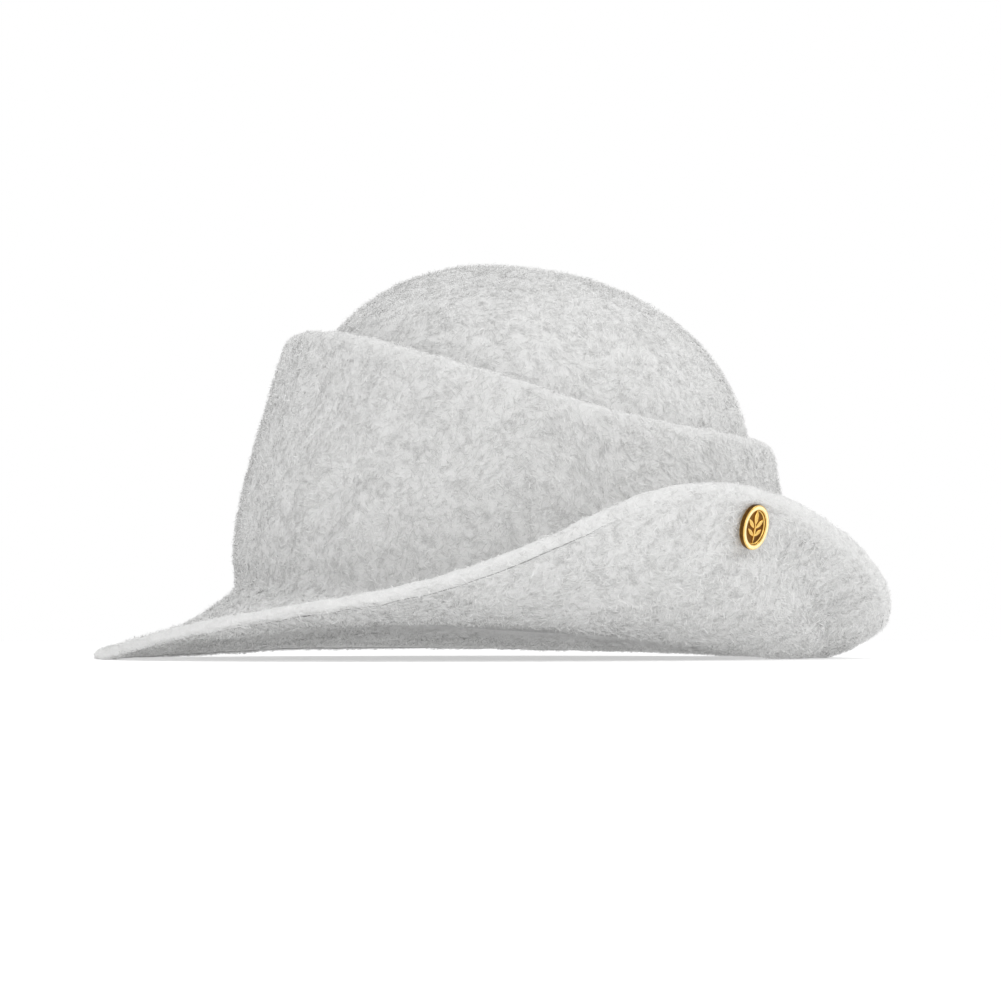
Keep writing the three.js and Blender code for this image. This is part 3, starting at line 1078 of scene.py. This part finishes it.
@dataclass(frozen=True)
class Borders:
    """Where one side of the felt ends and the next begins, in the head frame.

    A face is on the brim when it lies past the headline by brim_past or under the crown's foot
    by foot_under. Above high, a face is outside only when nothing covers it. The dome lies
    inside the headline by dome_inside. The last two weigh how far a face turns outwards and
    down, which tells the brim's under side from its top.
    """

    brim_past: float = 4.5 * MM
    foot_under: float = 0.3 * MM
    high: float = 45 * MM
    cover_start: float = 0.3 * MM
    cover_reach: float = 0.2
    inner_facing: float = -0.25
    dome_inside: float = 13.5 * MM
    under_outward: float = 0.38
    under_down: float = 0.92


@dataclass
class Nap:
    """Long hair over the felt, in tufts that lean together and loose hairs over them.

    The flow of the hair is the sum of a pull round the crown, the whorls and a spread of its
    own, by their shares. Beside the hem's inner edge, within hem_near, it lies along the hem
    and is shorter. At the rims it is shorter too, and paler; the paler colour is a painted
    highlight.
    """

    line: HemLine
    borders: Borders = Borders()
    seed: int = 20
    per_tuft: int = 3
    loose_share: float = 0.8
    width: float = 0.175 * MM
    shortest: float = 1.1 * MM
    longest: float = 3.8 * MM
    round_share: float = 0.35
    round_drop: float = 0.35
    whorl_share: float = 0.6
    own_share: float = 0.95
    hem_near: float = 2.2 * MM
    hem_pull: float = 1.6
    hem_shorter: float = 0.55
    rim_shorter: float = 0.35
    low_at_edges: float = 0.5
    bow: float = 0.32
    loose_lift: tuple[float, float] = (0.25 * MM, 1.1 * MM)
    tuft_lift: tuple[float, float] = (0.12 * MM, 0.55 * MM)
    tuft_spread: float = 0.6 * MM
    tuft_gather: tuple[float, float] = (0.75, 0.45)
    rooted: float = 0.05 * MM
    wander: tuple[float, float] = (0.25 * MM, 0.3 * MM)
    tip_lift: tuple[float, float] = (0.3, 2.0)
    roll: float = 0.65
    taper: tuple[float, float] = (0.6, 1.0)
    parting: float = 0.6 * MM
    dullest: tuple[float, float] = (0.55, 1.0)
    bright_share: float = 0.46
    brighter: float = 0.6
    # How much paler the hair at the rims is: a painted highlight where thin rims let light
    # through.
    rim_painted_highlight: float = 0.75

    def sides(self, points: np.ndarray, normals: np.ndarray, skin: BVHTree) -> dict:
        """Sorts faces by the side of the felt that they are on.

        Args:
            points: the faces' middles.
            normals: the faces' normals.
            skin: the felt's search tree.

        Returns:
            For each side, which faces are on it.
        """
        edges = self.borders
        head, facing = HEAD.into(points), normals @ HEAD.lean()
        azimuth, reach = HEAD.azimuth(head), HEAD.reach(head)
        outward = facing[:, 0] * np.sin(azimuth) - facing[:, 1] * np.cos(azimuth)
        headline = HEAD.headline(azimuth)
        below_foot = head[:, 2] < foot_height(azimuth) - edges.foot_under
        brim = (reach > headline + edges.brim_past) | below_foot
        high = ~brim & (head[:, 2] > edges.high)
        up = Vector(HEAD.lean() @ np.array([0.0, 0.0, 1.0]))
        covered = np.zeros(len(points), bool)
        for i in np.flatnonzero(high):
            start = Vector(points[i] + normals[i] * edges.cover_start)
            covered[i] = skin.ray_cast(start, up, edges.cover_reach)[0] is not None
        inner = np.where(high, covered, outward < edges.inner_facing)
        crown = ~brim & ~inner
        dome = high & crown & (reach < headline - edges.dome_inside)
        under = edges.under_outward * outward - edges.under_down * facing[:, 2] > 0
        front = head[:, 1] < 0
        return {
            Side.DOME: dome,
            Side.WALL_FRONT: crown & ~dome & front,
            Side.WALL_BACK: crown & ~dome & ~front,
            Side.BRIM_TOP: brim & ~under,
            Side.BRIM_UNDER: brim & under,
        }

    def build(self, felt: bpy.types.Object, skin: BVHTree) -> list[bpy.types.Object]:
        """Grows the hair.

        Args:
            felt: the finished felt.
            skin: its search tree.

        Returns:
            One object for each side of the felt.
        """
        felt.data.calc_loop_triangles()
        corners = np.empty(len(felt.data.loop_triangles) * 3, np.int32)
        felt.data.loop_triangles.foreach_get("vertices", corners)
        triangles = places(felt)[corners.reshape(-1, 3)]
        bend = FeltBody.bend(felt)[corners.reshape(-1, 3)].mean(axis=1)
        across = np.cross(triangles[:, 1] - triangles[:, 0], triangles[:, 2] - triangles[:, 0])
        ground = Ground(triangles, unit(across), np.linalg.norm(across, axis=1) / 2, bend)
        sides = self.sides(triangles.mean(axis=1), ground.normals, skin)
        draw = np.random.default_rng(self.seed)
        return [self.side(side, ground.part(there), skin, draw) for side, there in sides.items()]

    @staticmethod
    def dress(sides: list[bpy.types.Object]) -> None:
        """Gives the hair its finish and puts it on the hat's body.

        Args:
            sides: the hair of each side.
        """
        hair = NapFinish().material()
        for side in sides:
            side.data.materials.append(hair)
            belongs(side, "felt")

    def side(
        self, side: Side, ground: Ground, skin: BVHTree, draw: np.random.Generator
    ) -> bpy.types.Object:
        """Grows the hair of one side.

        Args:
            side: the side, whose value is its name and its number of hairs.
            ground: its faces.
            skin: the felt's search tree.
            draw: the source of random numbers.

        Returns:
            The side's hair as one mesh of thin ribbons.
        """
        name, count = side.value
        loose = int(count * self.loose_share)
        tufts = (count - loose) // self.per_tuft
        tufted = self.hairs(ground, tufts, self.per_tuft, skin, draw)
        single = self.hairs(ground, loose, 1, skin, draw)
        return ribbons(name, *(np.concatenate(pair) for pair in zip(tufted, single)))

    def flow(
        self, root: np.ndarray, normal: np.ndarray, near: np.ndarray, draw: np.random.Generator
    ) -> np.ndarray:
        """Works out which way hair lies at its roots.

        Args:
            root: where each tuft starts.
            normal: the felt's normal there.
            near: how near the hem's inner edge is, from 0 to 1, in one column.
            draw: the source of random numbers.

        Returns:
            A direction along the felt for each tuft.
        """
        azimuth = HEAD.azimuth(HEAD.into(root))
        round_crown = HEAD.along(azimuth, self.round_drop) @ HEAD.lean().T
        flow = round_crown * self.round_share + Whorls().at(root) * self.whorl_share
        flow += draw.normal(size=flow.shape) * self.own_share
        along_hem = HEAD.along(azimuth) @ HEAD.lean().T
        flow = flow * (1 - near) + along_hem * near * self.hem_pull
        return unit(flow - np.sum(flow * normal, axis=1, keepdims=True) * normal)

    def hairs(
        self,
        ground: Ground,
        count: int,
        each: int,
        skin: BVHTree,
        draw: np.random.Generator,
    ) -> tuple[np.ndarray, ...]:
        """Lays out hairs from their roots over the skin.

        Args:
            ground: the faces that they grow on.
            count: the number of tufts.
            each: the number of hairs in a tuft.
            skin: the felt's search tree.
            draw: the source of random numbers.

        Returns:
            For each hair its root, middle and tip, half its width as a vector at root and
            middle, and how dull it is.
        """
        pick = draw.choice(len(ground.area), count, p=ground.area / ground.area.sum())
        u, v = draw.random((2, count))
        flip = u + v > 1
        u, v = np.where(flip, 1 - u, u), np.where(flip, 1 - v, v)
        a, b, c = ground.triangles[pick].transpose(1, 0, 2)
        root = a + (b - a) * u[:, None] + (c - a) * v[:, None]
        normal, edge = ground.normals[pick], ground.bend[pick][:, None]
        head = HEAD.into(root)
        gap = head - self.line.at(HEAD.azimuth(head))
        near = np.exp(-np.sum(gap * gap, axis=1) / self.hem_near**2)[:, None]
        flow = self.flow(root, normal, near, draw)
        length = draw.uniform(self.shortest, self.longest, count)[:, None]
        length *= (1 - self.hem_shorter * near) * (1 - self.rim_shorter * edge)
        bow = np.cross(normal, flow) * draw.normal(0, self.bow, (count, 1)) * length
        mid, mid_normal = nearest(skin, root + flow * length * 0.5 + bow)
        tip, tip_normal = nearest(skin, root + flow * length)
        single, shape = each == 1, (count, each, 1)
        side = np.cross(normal, flow)[:, None, :]
        flow, normal = flow[:, None, :], normal[:, None, :]
        apart = side * draw.normal(0, self.tuft_spread, shape)
        apart += flow * draw.normal(0, self.tuft_spread, shape)
        if single:
            apart = apart * 0
        here = root[:, None, :] + apart - normal * self.rooted
        lift = draw.uniform(*(self.loose_lift if single else self.tuft_lift), shape)
        lift *= 1 - self.low_at_edges * np.maximum(near, edge)[:, None, :]
        (gather, gather_tip), (wander, wander_tip) = self.tuft_gather, self.wander
        middle = mid[:, None, :] + apart * gather + mid_normal[:, None, :] * lift
        middle += side * draw.normal(0, wander, shape)
        tip_lift = lift * draw.uniform(*self.tip_lift, shape)
        ending = tip[:, None, :] + apart * gather_tip + tip_normal[:, None, :] * tip_lift
        ending += side * draw.normal(0, wander_tip, shape)
        roll = draw.uniform(-self.roll, self.roll, shape)
        half = (side * np.cos(roll) + normal * np.sin(roll)) * self.width / 2
        here, middle, ending = (
            self.line.parted(x.reshape(-1, 3), self.parting) for x in (here, middle, ending)
        )
        narrow = half * draw.uniform(*self.taper, shape)
        dull = draw.uniform(*self.dullest, (count, each))
        if single:
            dull -= self.brighter * (draw.random((count, each)) < self.bright_share)
        # Painted highlight: the hair grows less dull where the felt bends into a rim.
        dull = np.clip(dull, 0.0, 1.0) * (1 - self.rim_painted_highlight * edge)
        return here, middle, ending, half.reshape(-1, 3), narrow.reshape(-1, 3), dull.ravel()


def ribbons(
    name: str,
    root: np.ndarray,
    middle: np.ndarray,
    tip: np.ndarray,
    half_root: np.ndarray,
    half_middle: np.ndarray,
    dull: np.ndarray,
) -> bpy.types.Object:
    """Makes one mesh of many hairs, each a four-sided face and a pointed one.

    Args:
        name: the new object's name.
        root: where each hair starts.
        middle: halfway points.
        tip: where each hair ends.
        half_root: half the hair's width at its root, as a vector.
        half_middle: half the hair's width halfway, as a vector.
        dull: how dull each hair is, from 0 to 1.

    Returns:
        The object, with a map named strand: how dull it is across, root to tip along.
    """
    count = len(root)
    points = np.stack(
        [root - half_root, root + half_root, middle - half_middle, middle + half_middle, tip],
        axis=1,
    )
    points[:, :, 2] = np.maximum(points[:, :, 2], 0.1 * MM)
    mesh = bpy.data.meshes.new(name)
    mesh.vertices.add(count * 5)
    mesh.loops.add(count * 7)
    mesh.polygons.add(count * 2)
    mesh.vertices.foreach_set("co", points.astype(np.float32).ravel())
    corners = np.array([1, 0, 2, 3, 3, 2, 4]) + 5 * np.arange(count)[:, None]
    mesh.loops.foreach_set("vertex_index", corners.astype(np.int32).ravel())
    starts = np.array([0, 4]) + 7 * np.arange(count)[:, None]
    mesh.polygons.foreach_set("loop_start", starts.astype(np.int32).ravel())
    layer = mesh.uv_layers.new(name="strand")
    own = np.repeat(dull, 7)
    along = np.tile([0.0, 0.0, 0.5, 0.5, 0.5, 0.5, 1.0], count)
    layer.uv.foreach_set("vector", np.column_stack([own, along]).astype(np.float32).ravel())
    mesh.update(calc_edges=True)
    mesh.polygons.foreach_set("use_smooth", np.ones(count * 2, bool))
    return linked(name, mesh)


# The sweatband


@dataclass
class Sweatband:
    """The ribbed ribbon inside the crown, sewn along its lower edge and lapped at the back."""

    node: str = "sweatband"
    name: str = "sweatband_ribbon"
    cuts: int = 3
    bevel: float = 0.22 * MM
    wave_size: float = 16 * MM
    wave_height: float = 0.25 * MM
    stitch_pitch: float = 3.4 * MM
    stitch_length: float = 1.9 * MM
    stitch_width: float = 0.4 * MM
    stitch_rise: float = 0.1 * MM
    row_inside: float = 4 * MM
    row_height: float = 2.6 * MM
    lap_rows: tuple[float, float] = (-0.9 * MM, 0.9 * MM)
    lap_inside: float = 3 * MM
    lap_heights: tuple[float, float, float] = (3.5, 23.5, 2.2)

    def build(self) -> bpy.types.Object:
        """Softens the ribbon's edges and makes its face slightly wavy.

        Returns:
            The ribbon.
        """
        ribbon = fresh_copy(self.node, self.name)
        with editing(ribbon):
            bpy.ops.mesh.select_all(action="SELECT")
            bpy.ops.mesh.tris_convert_to_quads(
                face_threshold=math.radians(30), shape_threshold=math.radians(80)
            )
        finish_with(
            ribbon, "BEVEL", width=self.bevel, segments=2, limit_method="ANGLE",
            angle_limit=math.radians(50),
        )
        with editing(ribbon):
            bpy.ops.mesh.select_all(action="SELECT")
            bpy.ops.mesh.subdivide(number_cuts=self.cuts)
        waves = bpy.data.textures.new("ribbon_waves", "CLOUDS")
        waves.noise_scale = self.wave_size
        finish_with(
            ribbon, "DISPLACE", texture=waves, texture_coords="LOCAL",
            strength=self.wave_height, mid_level=0.5,
        )
        alone(ribbon)
        bpy.ops.object.shade_smooth_by_angle(angle=math.radians(40))
        self.map_run(ribbon)
        return ribbon

    def map_run(self, ribbon: bpy.types.Object) -> None:
        """Gives the ribbon a map in metres: along it, and up it.

        Args:
            ribbon: the finished ribbon.
        """
        mesh = ribbon.data
        corner = np.empty(len(mesh.loops), np.int32)
        mesh.loops.foreach_get("vertex_index", corner)
        face = np.repeat(
            np.arange(len(mesh.polygons)), [p.loop_total for p in mesh.polygons]
        )
        head = HEAD.into(places(ribbon))[corner]
        azimuth = HEAD.azimuth(head) % TURN
        first = np.zeros(len(mesh.polygons))
        first[face[::-1]] = azimuth[::-1]
        turned = azimuth - first[face]
        azimuth = azimuth - TURN * np.round(turned / TURN)
        run = np.column_stack([azimuth * (HEAD.width + HEAD.length) / 4, head[:, 2]])
        layer = mesh.uv_layers.new(name="ribbon_run")
        layer.uv.foreach_set("vector", run.astype(np.float32).ravel())

    def stitches(self, skin: BVHTree) -> bpy.types.Object:
        """Sews a row round the lower edge and two rows up the lap.

        Args:
            skin: the ribbon's search tree.

        Returns:
            The stitches as one object.
        """
        girth = TURN * (HEAD.width + HEAD.length) / 4
        azimuth = np.arange(int(girth / self.stitch_pitch)) * self.stitch_pitch / girth * TURN
        reach = HEAD.headline(azimuth) - self.row_inside
        low = HEAD.ring(azimuth, reach, foot_height(azimuth) + self.row_height)
        rise = np.arange(*self.lap_heights) * MM
        back = HEAD.length / 2 - self.lap_inside
        laps = [np.column_stack([0 * rise + x, 0 * rise + back, rise]) for x in self.lap_rows]
        upward = np.tile([0.0, 0.0, 1.0], (len(rise) * len(laps), 1))
        spots, normal = nearest(skin, HEAD.out_of(np.concatenate([low, *laps])))
        heading = np.concatenate([HEAD.along(azimuth), upward]) @ HEAD.lean().T
        across = unit(np.cross(normal, heading))
        heading = unit(np.cross(across, normal))
        bead = thread_bead(self.stitch_length, self.stitch_width)
        frames = np.stack([heading, across, normal], axis=1)
        spots += normal * self.stitch_rise
        return array_mesh("sweatband_stitches", bead, frames, spots)

    def dress(self, ribbon: bpy.types.Object, sewing: bpy.types.Object) -> None:
        """Gives the sweatband its finishes and puts it on the hat's body.

        Args:
            ribbon: the finished ribbon.
            sewing: its stitches.
        """
        ribbon.data.materials.append(RibbonFinish().material())
        sewing.data.materials.append(PALE_THREAD.material())
        belongs(ribbon, "ribbon", self.node)
        belongs(sewing, "ribbon")


# The badge


@dataclass(frozen=True)
class Leaf:
    """One pointed leaf of the sprig, in millimetres. It turns clockwise from upright."""

    x: float
    y: float
    turn: float
    length: float
    width: float
    thickness: float = 0.55
    point: float = 0.45
    rib_width: float = 0.16
    rib_depth: float = 0.16

    def build(self, ground: float) -> bpy.types.Object:
        """Shapes the leaf from a ball, with its sunk midrib.

        Args:
            ground: the height that it lies at, in metres.

        Returns:
            The leaf in the badge's own frame.
        """
        bpy.ops.mesh.primitive_uv_sphere_add(segments=20, ring_count=14, radius=1.0)
        leaf = bpy.context.object
        points = places(leaf)[:, [0, 2, 1]] * np.array([1.0, 1.0, -1.0])
        along = np.abs(points[:, 1])
        points[:, 0] *= (1 - self.point * along**1.5) * self.width / 2
        points[:, 2] = points[:, 2] * self.thickness
        rib = np.exp(-((points[:, 0] / self.rib_width) ** 2)) * (points[:, 2] > 0)
        points[:, 2] -= self.rib_depth * rib * (1 - along**3)
        points[:, 1] *= self.length / 2
        put(leaf, points * MM)
        leaf.rotation_euler[2] = -math.radians(self.turn)
        leaf.location = (self.x * MM, self.y * MM, ground)
        bpy.ops.object.transform_apply(location=True, rotation=True, scale=True)
        return leaf


# The sprig's five leaves, and last its stem
SPRIG = (
    Leaf(x=0, y=2.7, turn=0, length=4.2, width=1.7),
    Leaf(x=-1.75, y=1.0, turn=-45, length=3.8, width=1.4),
    Leaf(x=1.75, y=1.0, turn=45, length=3.8, width=1.4),
    Leaf(x=-1.55, y=-1.5, turn=-50, length=3.4, width=1.3),
    Leaf(x=1.55, y=-1.5, turn=50, length=3.4, width=1.3),
    Leaf(x=0, y=-1.4, turn=0, length=6.4, width=0.6),
)


@dataclass
class Badge:
    """The small oval gilt badge: a rounded rim, a dark field and a sprig in relief. Its steep
    walls carry the field's dark gilt as painted shade, and the rim's top a pale gilt as a painted
    highlight.

    Middle, out and up say where it sits: the middle of the felt behind it, and its directions.
    """

    node: str = "badge"
    name: str = "badge_gilt"
    middle: tuple[float, float, float] = (87.672 * MM, -102.840 * MM, 38.264 * MM)
    out: tuple[float, float, float] = (0.79329, -0.56694, -0.22198)
    up: tuple[float, float, float] = (0.18104, -0.12884, 0.97500)
    width: float = 10.8 * MM
    height: float = 12.8 * MM
    seat: float = 2.1 * MM
    plate: float = 1.1 * MM
    rim: float = 1.25 * MM
    rise: float = 0.7 * MM
    field_edge: float = 0.25 * MM
    field_drop: float = 0.08 * MM
    roundness: float = 0.34 * MM
    post: float = 0.7 * MM
    post_end: float = -4.0 * MM

    def place(self) -> Matrix:
        """Works out the badge's own frame.

        Returns:
            The frame at rest: x across the badge, y up it, z out of the felt.
        """
        out, up = Vector(self.out).normalized(), Vector(self.up).normalized()
        across = up.cross(out).normalized()
        turn = Matrix((across, out.cross(across), out)).transposed().to_4x4()
        return Matrix.Translation(self.middle) @ turn

    def dish(self, finishes: tuple[bpy.types.Material, ...]) -> bpy.types.Object:
        """Makes the plate with its rim, round as turned, before it is drawn out to an oval.

        Args:
            finishes: the material of the edges; the field's dark gilt, also painted shade on the
                steep walls; and the rim's pale gilt, a painted highlight.

        Returns:
            The round plate.
        """
        depth = self.plate + self.rise
        bpy.ops.mesh.primitive_cylinder_add(
            vertices=72, radius=self.width / 2, depth=depth, location=(0, 0, self.seat + depth / 2)
        )
        dish = bpy.context.object
        for finish in finishes:
            dish.data.materials.append(finish)
        bpy.ops.object.transform_apply(location=True, rotation=True, scale=True)
        with editing(dish):
            mesh = bmesh.from_edit_mesh(dish.data)
            bpy.ops.mesh.select_all(action="DESELECT")
            for face in mesh.faces:
                face.select_set(face.normal.z > 0.9)
            bmesh.update_edit_mesh(dish.data)
            bpy.ops.mesh.inset(thickness=self.rim)
            bpy.ops.mesh.extrude_region_move(
                TRANSFORM_OT_translate={"value": (0, 0, -self.rise)}
            )
            bpy.ops.mesh.inset(thickness=self.field_edge, depth=-self.field_drop)
            mesh = bmesh.from_edit_mesh(dish.data)
            for face in mesh.faces:
                # The field is dark gilt; the steep walls get it too as painted shade, and the
                # rim's top gets pale gilt as a painted highlight.
                dark = face.select or abs(face.normal.z) < 0.3
                face.material_index = 1 if dark else 2 if face.normal.z > 0.9 else 0
            bmesh.update_edit_mesh(dish.data)
        finish_with(
            dish, "BEVEL", width=self.roundness, segments=4, limit_method="ANGLE",
            angle_limit=math.radians(40), material=0,
        )
        return dish

    def build(self, finishes: tuple[bpy.types.Material, ...]) -> bpy.types.Object:
        """Makes the whole badge in its place, one casting.

        Args:
            finishes: the material of edges and relief; the field's dark gilt, also painted shade
                on the steep walls; and the rim's pale gilt, a painted highlight.

        Returns:
            The badge.
        """
        dish = self.dish(finishes)
        dish.scale = (1, self.height / self.width, 1)
        alone(dish)
        bpy.ops.object.transform_apply(location=True, rotation=True, scale=True)
        leaves = [leaf.build(self.seat + self.plate) for leaf in SPRIG]
        reach = self.seat + self.plate / 2 - self.post_end
        bpy.ops.mesh.primitive_cylinder_add(
            vertices=20, radius=self.post, depth=reach, location=(0, 0, self.post_end + reach / 2)
        )
        post = bpy.context.object
        finish_with(post, "BEVEL", width=0.2 * MM, segments=2, limit_method="ANGLE")
        alone(dish)
        for piece in (*leaves, post):
            piece.data.materials.append(finishes[0])
            piece.select_set(True)
        bpy.ops.object.join()
        dish.name = dish.data.name = self.name
        dish.data.transform(self.place())
        with editing(dish):
            bpy.ops.mesh.select_all(action="SELECT")
            bpy.ops.mesh.normals_make_consistent(inside=False)
        alone(dish)
        bpy.ops.object.shade_smooth_by_angle(angle=math.radians(38))
        return dish


@dataclass
class BadgeClasp:
    """The plain round clutch on the badge's post, which keeps the solid's own mesh."""

    node: str = "badge_clasp"
    edge: float = 0.25 * MM

    def dress(self, finish: bpy.types.Material) -> None:
        """Gives the clutch its finish and rounds its edges.

        Args:
            finish: the badge's own finish.
        """
        clasp = frame["nodes"][self.node]
        clasp.data.materials.clear()
        clasp.data.materials.append(finish)
        edge = clasp.modifiers.new("softened_edge", "BEVEL")
        edge.width, edge.segments, edge.limit_method = self.edge, 3, "ANGLE"


# The studio


@dataclass(frozen=True)
class Lamp:
    """A soft square lamp that looks at the hat."""

    name: str
    place: tuple[float, float, float]
    size: float
    power: float
    aim: tuple[float, float, float] = (0.0, 0.0, 0.06)

    def build(self) -> bpy.types.Object:
        """Hangs the lamp in its place and turns it to the hat.

        Returns:
            The lamp, which the camera doesn't see.
        """
        light = bpy.data.lights.new(self.name, "AREA")
        light.size, light.energy = self.size, self.power
        lamp = linked(self.name, light)
        lamp.location = self.place
        away = Vector(self.place) - Vector(self.aim)
        lamp.rotation_euler = away.to_track_quat("Z", "Y").to_euler()
        lamp.visible_camera = False
        return lamp


@dataclass
class Studio:
    """A pale floor in white air, two soft lamps and the camera."""

    floor_reach: float = 7.0
    floor_rings: tuple[float, ...] = (3.5, 2.0, 1.0)
    pale: tuple[float, float, float] = (0.70, 0.70, 0.70)
    glow: float = 0.43
    sky: tuple[float, float] = (0.74, 1.12)
    sky_side: tuple[float, float, float] = (0.78, -0.30, 0.55)
    camera_turn: float = math.radians(9.3)
    camera_reach: float = 0.8
    camera_height: float = 6.0 * MM
    lens: float = 87.6
    target: tuple[float, float, float] = (1.0 * MM, 0.0, 51.8 * MM)
    lamps: tuple[Lamp, ...] = (
        Lamp("lamp_over", (0.9, -0.3, 1.8), size=0.7, power=3.5),
        Lamp("lamp_front", (0.3, -2.0, 0.2), size=1.2, power=7.0),
    )

    def floor(self) -> bpy.types.Object:
        """Lays the floor, one wide round sheet that can't be seen from below.

        Returns:
            The floor, which is staging and no part of the hat.
        """
        bpy.ops.mesh.primitive_circle_add(
            vertices=96, radius=self.floor_reach, fill_type="NGON", location=(0, 0, 0)
        )
        floor = bpy.context.object
        floor.name = floor.data.name = "pale_floor"
        with editing(floor):
            bpy.ops.mesh.select_all(action="SELECT")
            for thickness in self.floor_rings:
                bpy.ops.mesh.inset(thickness=thickness)
        if floor.data.polygons[0].normal.z < 0:
            floor.data.flip_normals()
        material, shader = new_material("pale_paper")
        nodes, links = material.node_tree.nodes, material.node_tree.links
        constant(shader, Base_Color=(*self.pale, 1.0), Roughness=0.9, Specular_IOR_Level=0.1)
        constant(shader, Emission_Color=(1.0, 1.0, 1.0, 1.0), Emission_Strength=self.glow)
        material.cycles.emission_sampling = "NONE"
        clear, mix = nodes.new("ShaderNodeBsdfTransparent"), nodes.new("ShaderNodeMixShader")
        side = nodes.new("ShaderNodeNewGeometry")
        links.new(side.outputs["Backfacing"], mix.inputs["Fac"])
        links.new(shader.outputs["BSDF"], mix.inputs[1])
        links.new(clear.outputs["BSDF"], mix.inputs[2])
        links.new(mix.outputs["Shader"], nodes["Material Output"].inputs["Surface"])
        floor.data.materials.append(material)
        return floor

    def camera(self) -> None:
        """Makes the camera: the photograph's side of the hat, just above the floor."""
        lens = bpy.data.cameras.new("camera")
        lens.sensor_width, lens.lens = 36.0, self.lens
        lens.clip_start, lens.clip_end = 0.01, 50.0
        camera = linked("camera", lens)
        camera.location = (
            self.camera_reach * math.sin(self.camera_turn),
            -self.camera_reach * math.cos(self.camera_turn),
            self.camera_height,
        )
        away = camera.location - Vector(self.target)
        camera.rotation_euler = away.to_track_quat("Z", "Y").to_euler()
        bpy.context.scene.camera = camera

    def air(self) -> bpy.types.World:
        """Makes the white air, whose light is stronger from one side than from the other.

        Returns:
            The world that holds it.
        """
        world = bpy.data.worlds.new("studio_air")
        world.use_nodes = True
        nodes, links = world.node_tree.nodes, world.node_tree.links
        air = nodes["Background"]
        air.inputs["Color"].default_value = (1.0, 1.0, 1.0, 1.0)
        where, toward = nodes.new("ShaderNodeTexCoord"), nodes.new("ShaderNodeVectorMath")
        toward.operation = "DOT_PRODUCT"
        toward.inputs[1].default_value = self.sky_side
        links.new(where.outputs["Generated"], toward.inputs[0])
        light = nodes.new("ShaderNodeMapRange")
        light.inputs["From Min"].default_value = -1.0
        light.inputs["To Min"].default_value, light.inputs["To Max"].default_value = self.sky
        links.new(toward.outputs["Value"], light.inputs["Value"])
        path, seen = nodes.new("ShaderNodeLightPath"), nodes.new("ShaderNodeMix")
        seen.inputs["B"].default_value = 1.0
        links.new(path.outputs["Is Camera Ray"], seen.inputs["Factor"])
        links.new(light.outputs["Result"], seen.inputs["A"])
        links.new(seen.outputs["Result"], air.inputs["Strength"])
        return world

    def build(self) -> None:
        """Sets up the whole studio."""
        self.floor()
        self.camera()
        for lamp in self.lamps:
            lamp.build()
        scene = bpy.context.scene
        scene.world = self.air()
        scene.view_settings.view_transform = "Standard"
        scene.view_settings.look = "None"


# The hat, from the felt outwards


def build_felt() -> None:
    """Builds the felt, its nap and its hem."""
    line, body = HemLine(), FeltBody()
    felt = body.build()
    skin = skin_of(felt)
    body.dress(felt)
    nap, hem = Nap(line), HemStitching(line)
    nap.dress(nap.build(felt, skin))
    hem.dress(hem.stitches(skin), hem.furrow(skin))


def build_sweatband() -> None:
    """Builds the ribbon and its sewing."""
    band = Sweatband()
    ribbon = band.build()
    band.dress(ribbon, band.stitches(skin_of(ribbon)))


def build_badge() -> None:
    """Builds the badge and dresses its clasp."""
    badge, polished = Badge(), POLISHED_GILT.material()
    casting = badge.build((polished, DARK_GILT_FIELD_AND_SHADE.material(), PAINTED_HIGHLIGHT_GILT.material()))
    belongs(casting, "gold", badge.node)
    BadgeClasp().dress(polished)


def main() -> None:
    """Builds the hat and the studio."""
    logging.basicConfig(level=logging.INFO, format="%(name)s: %(message)s")
    build_felt()
    build_sweatband()
    build_badge()
    Studio().build()


if __name__ == "__main__":
    main()
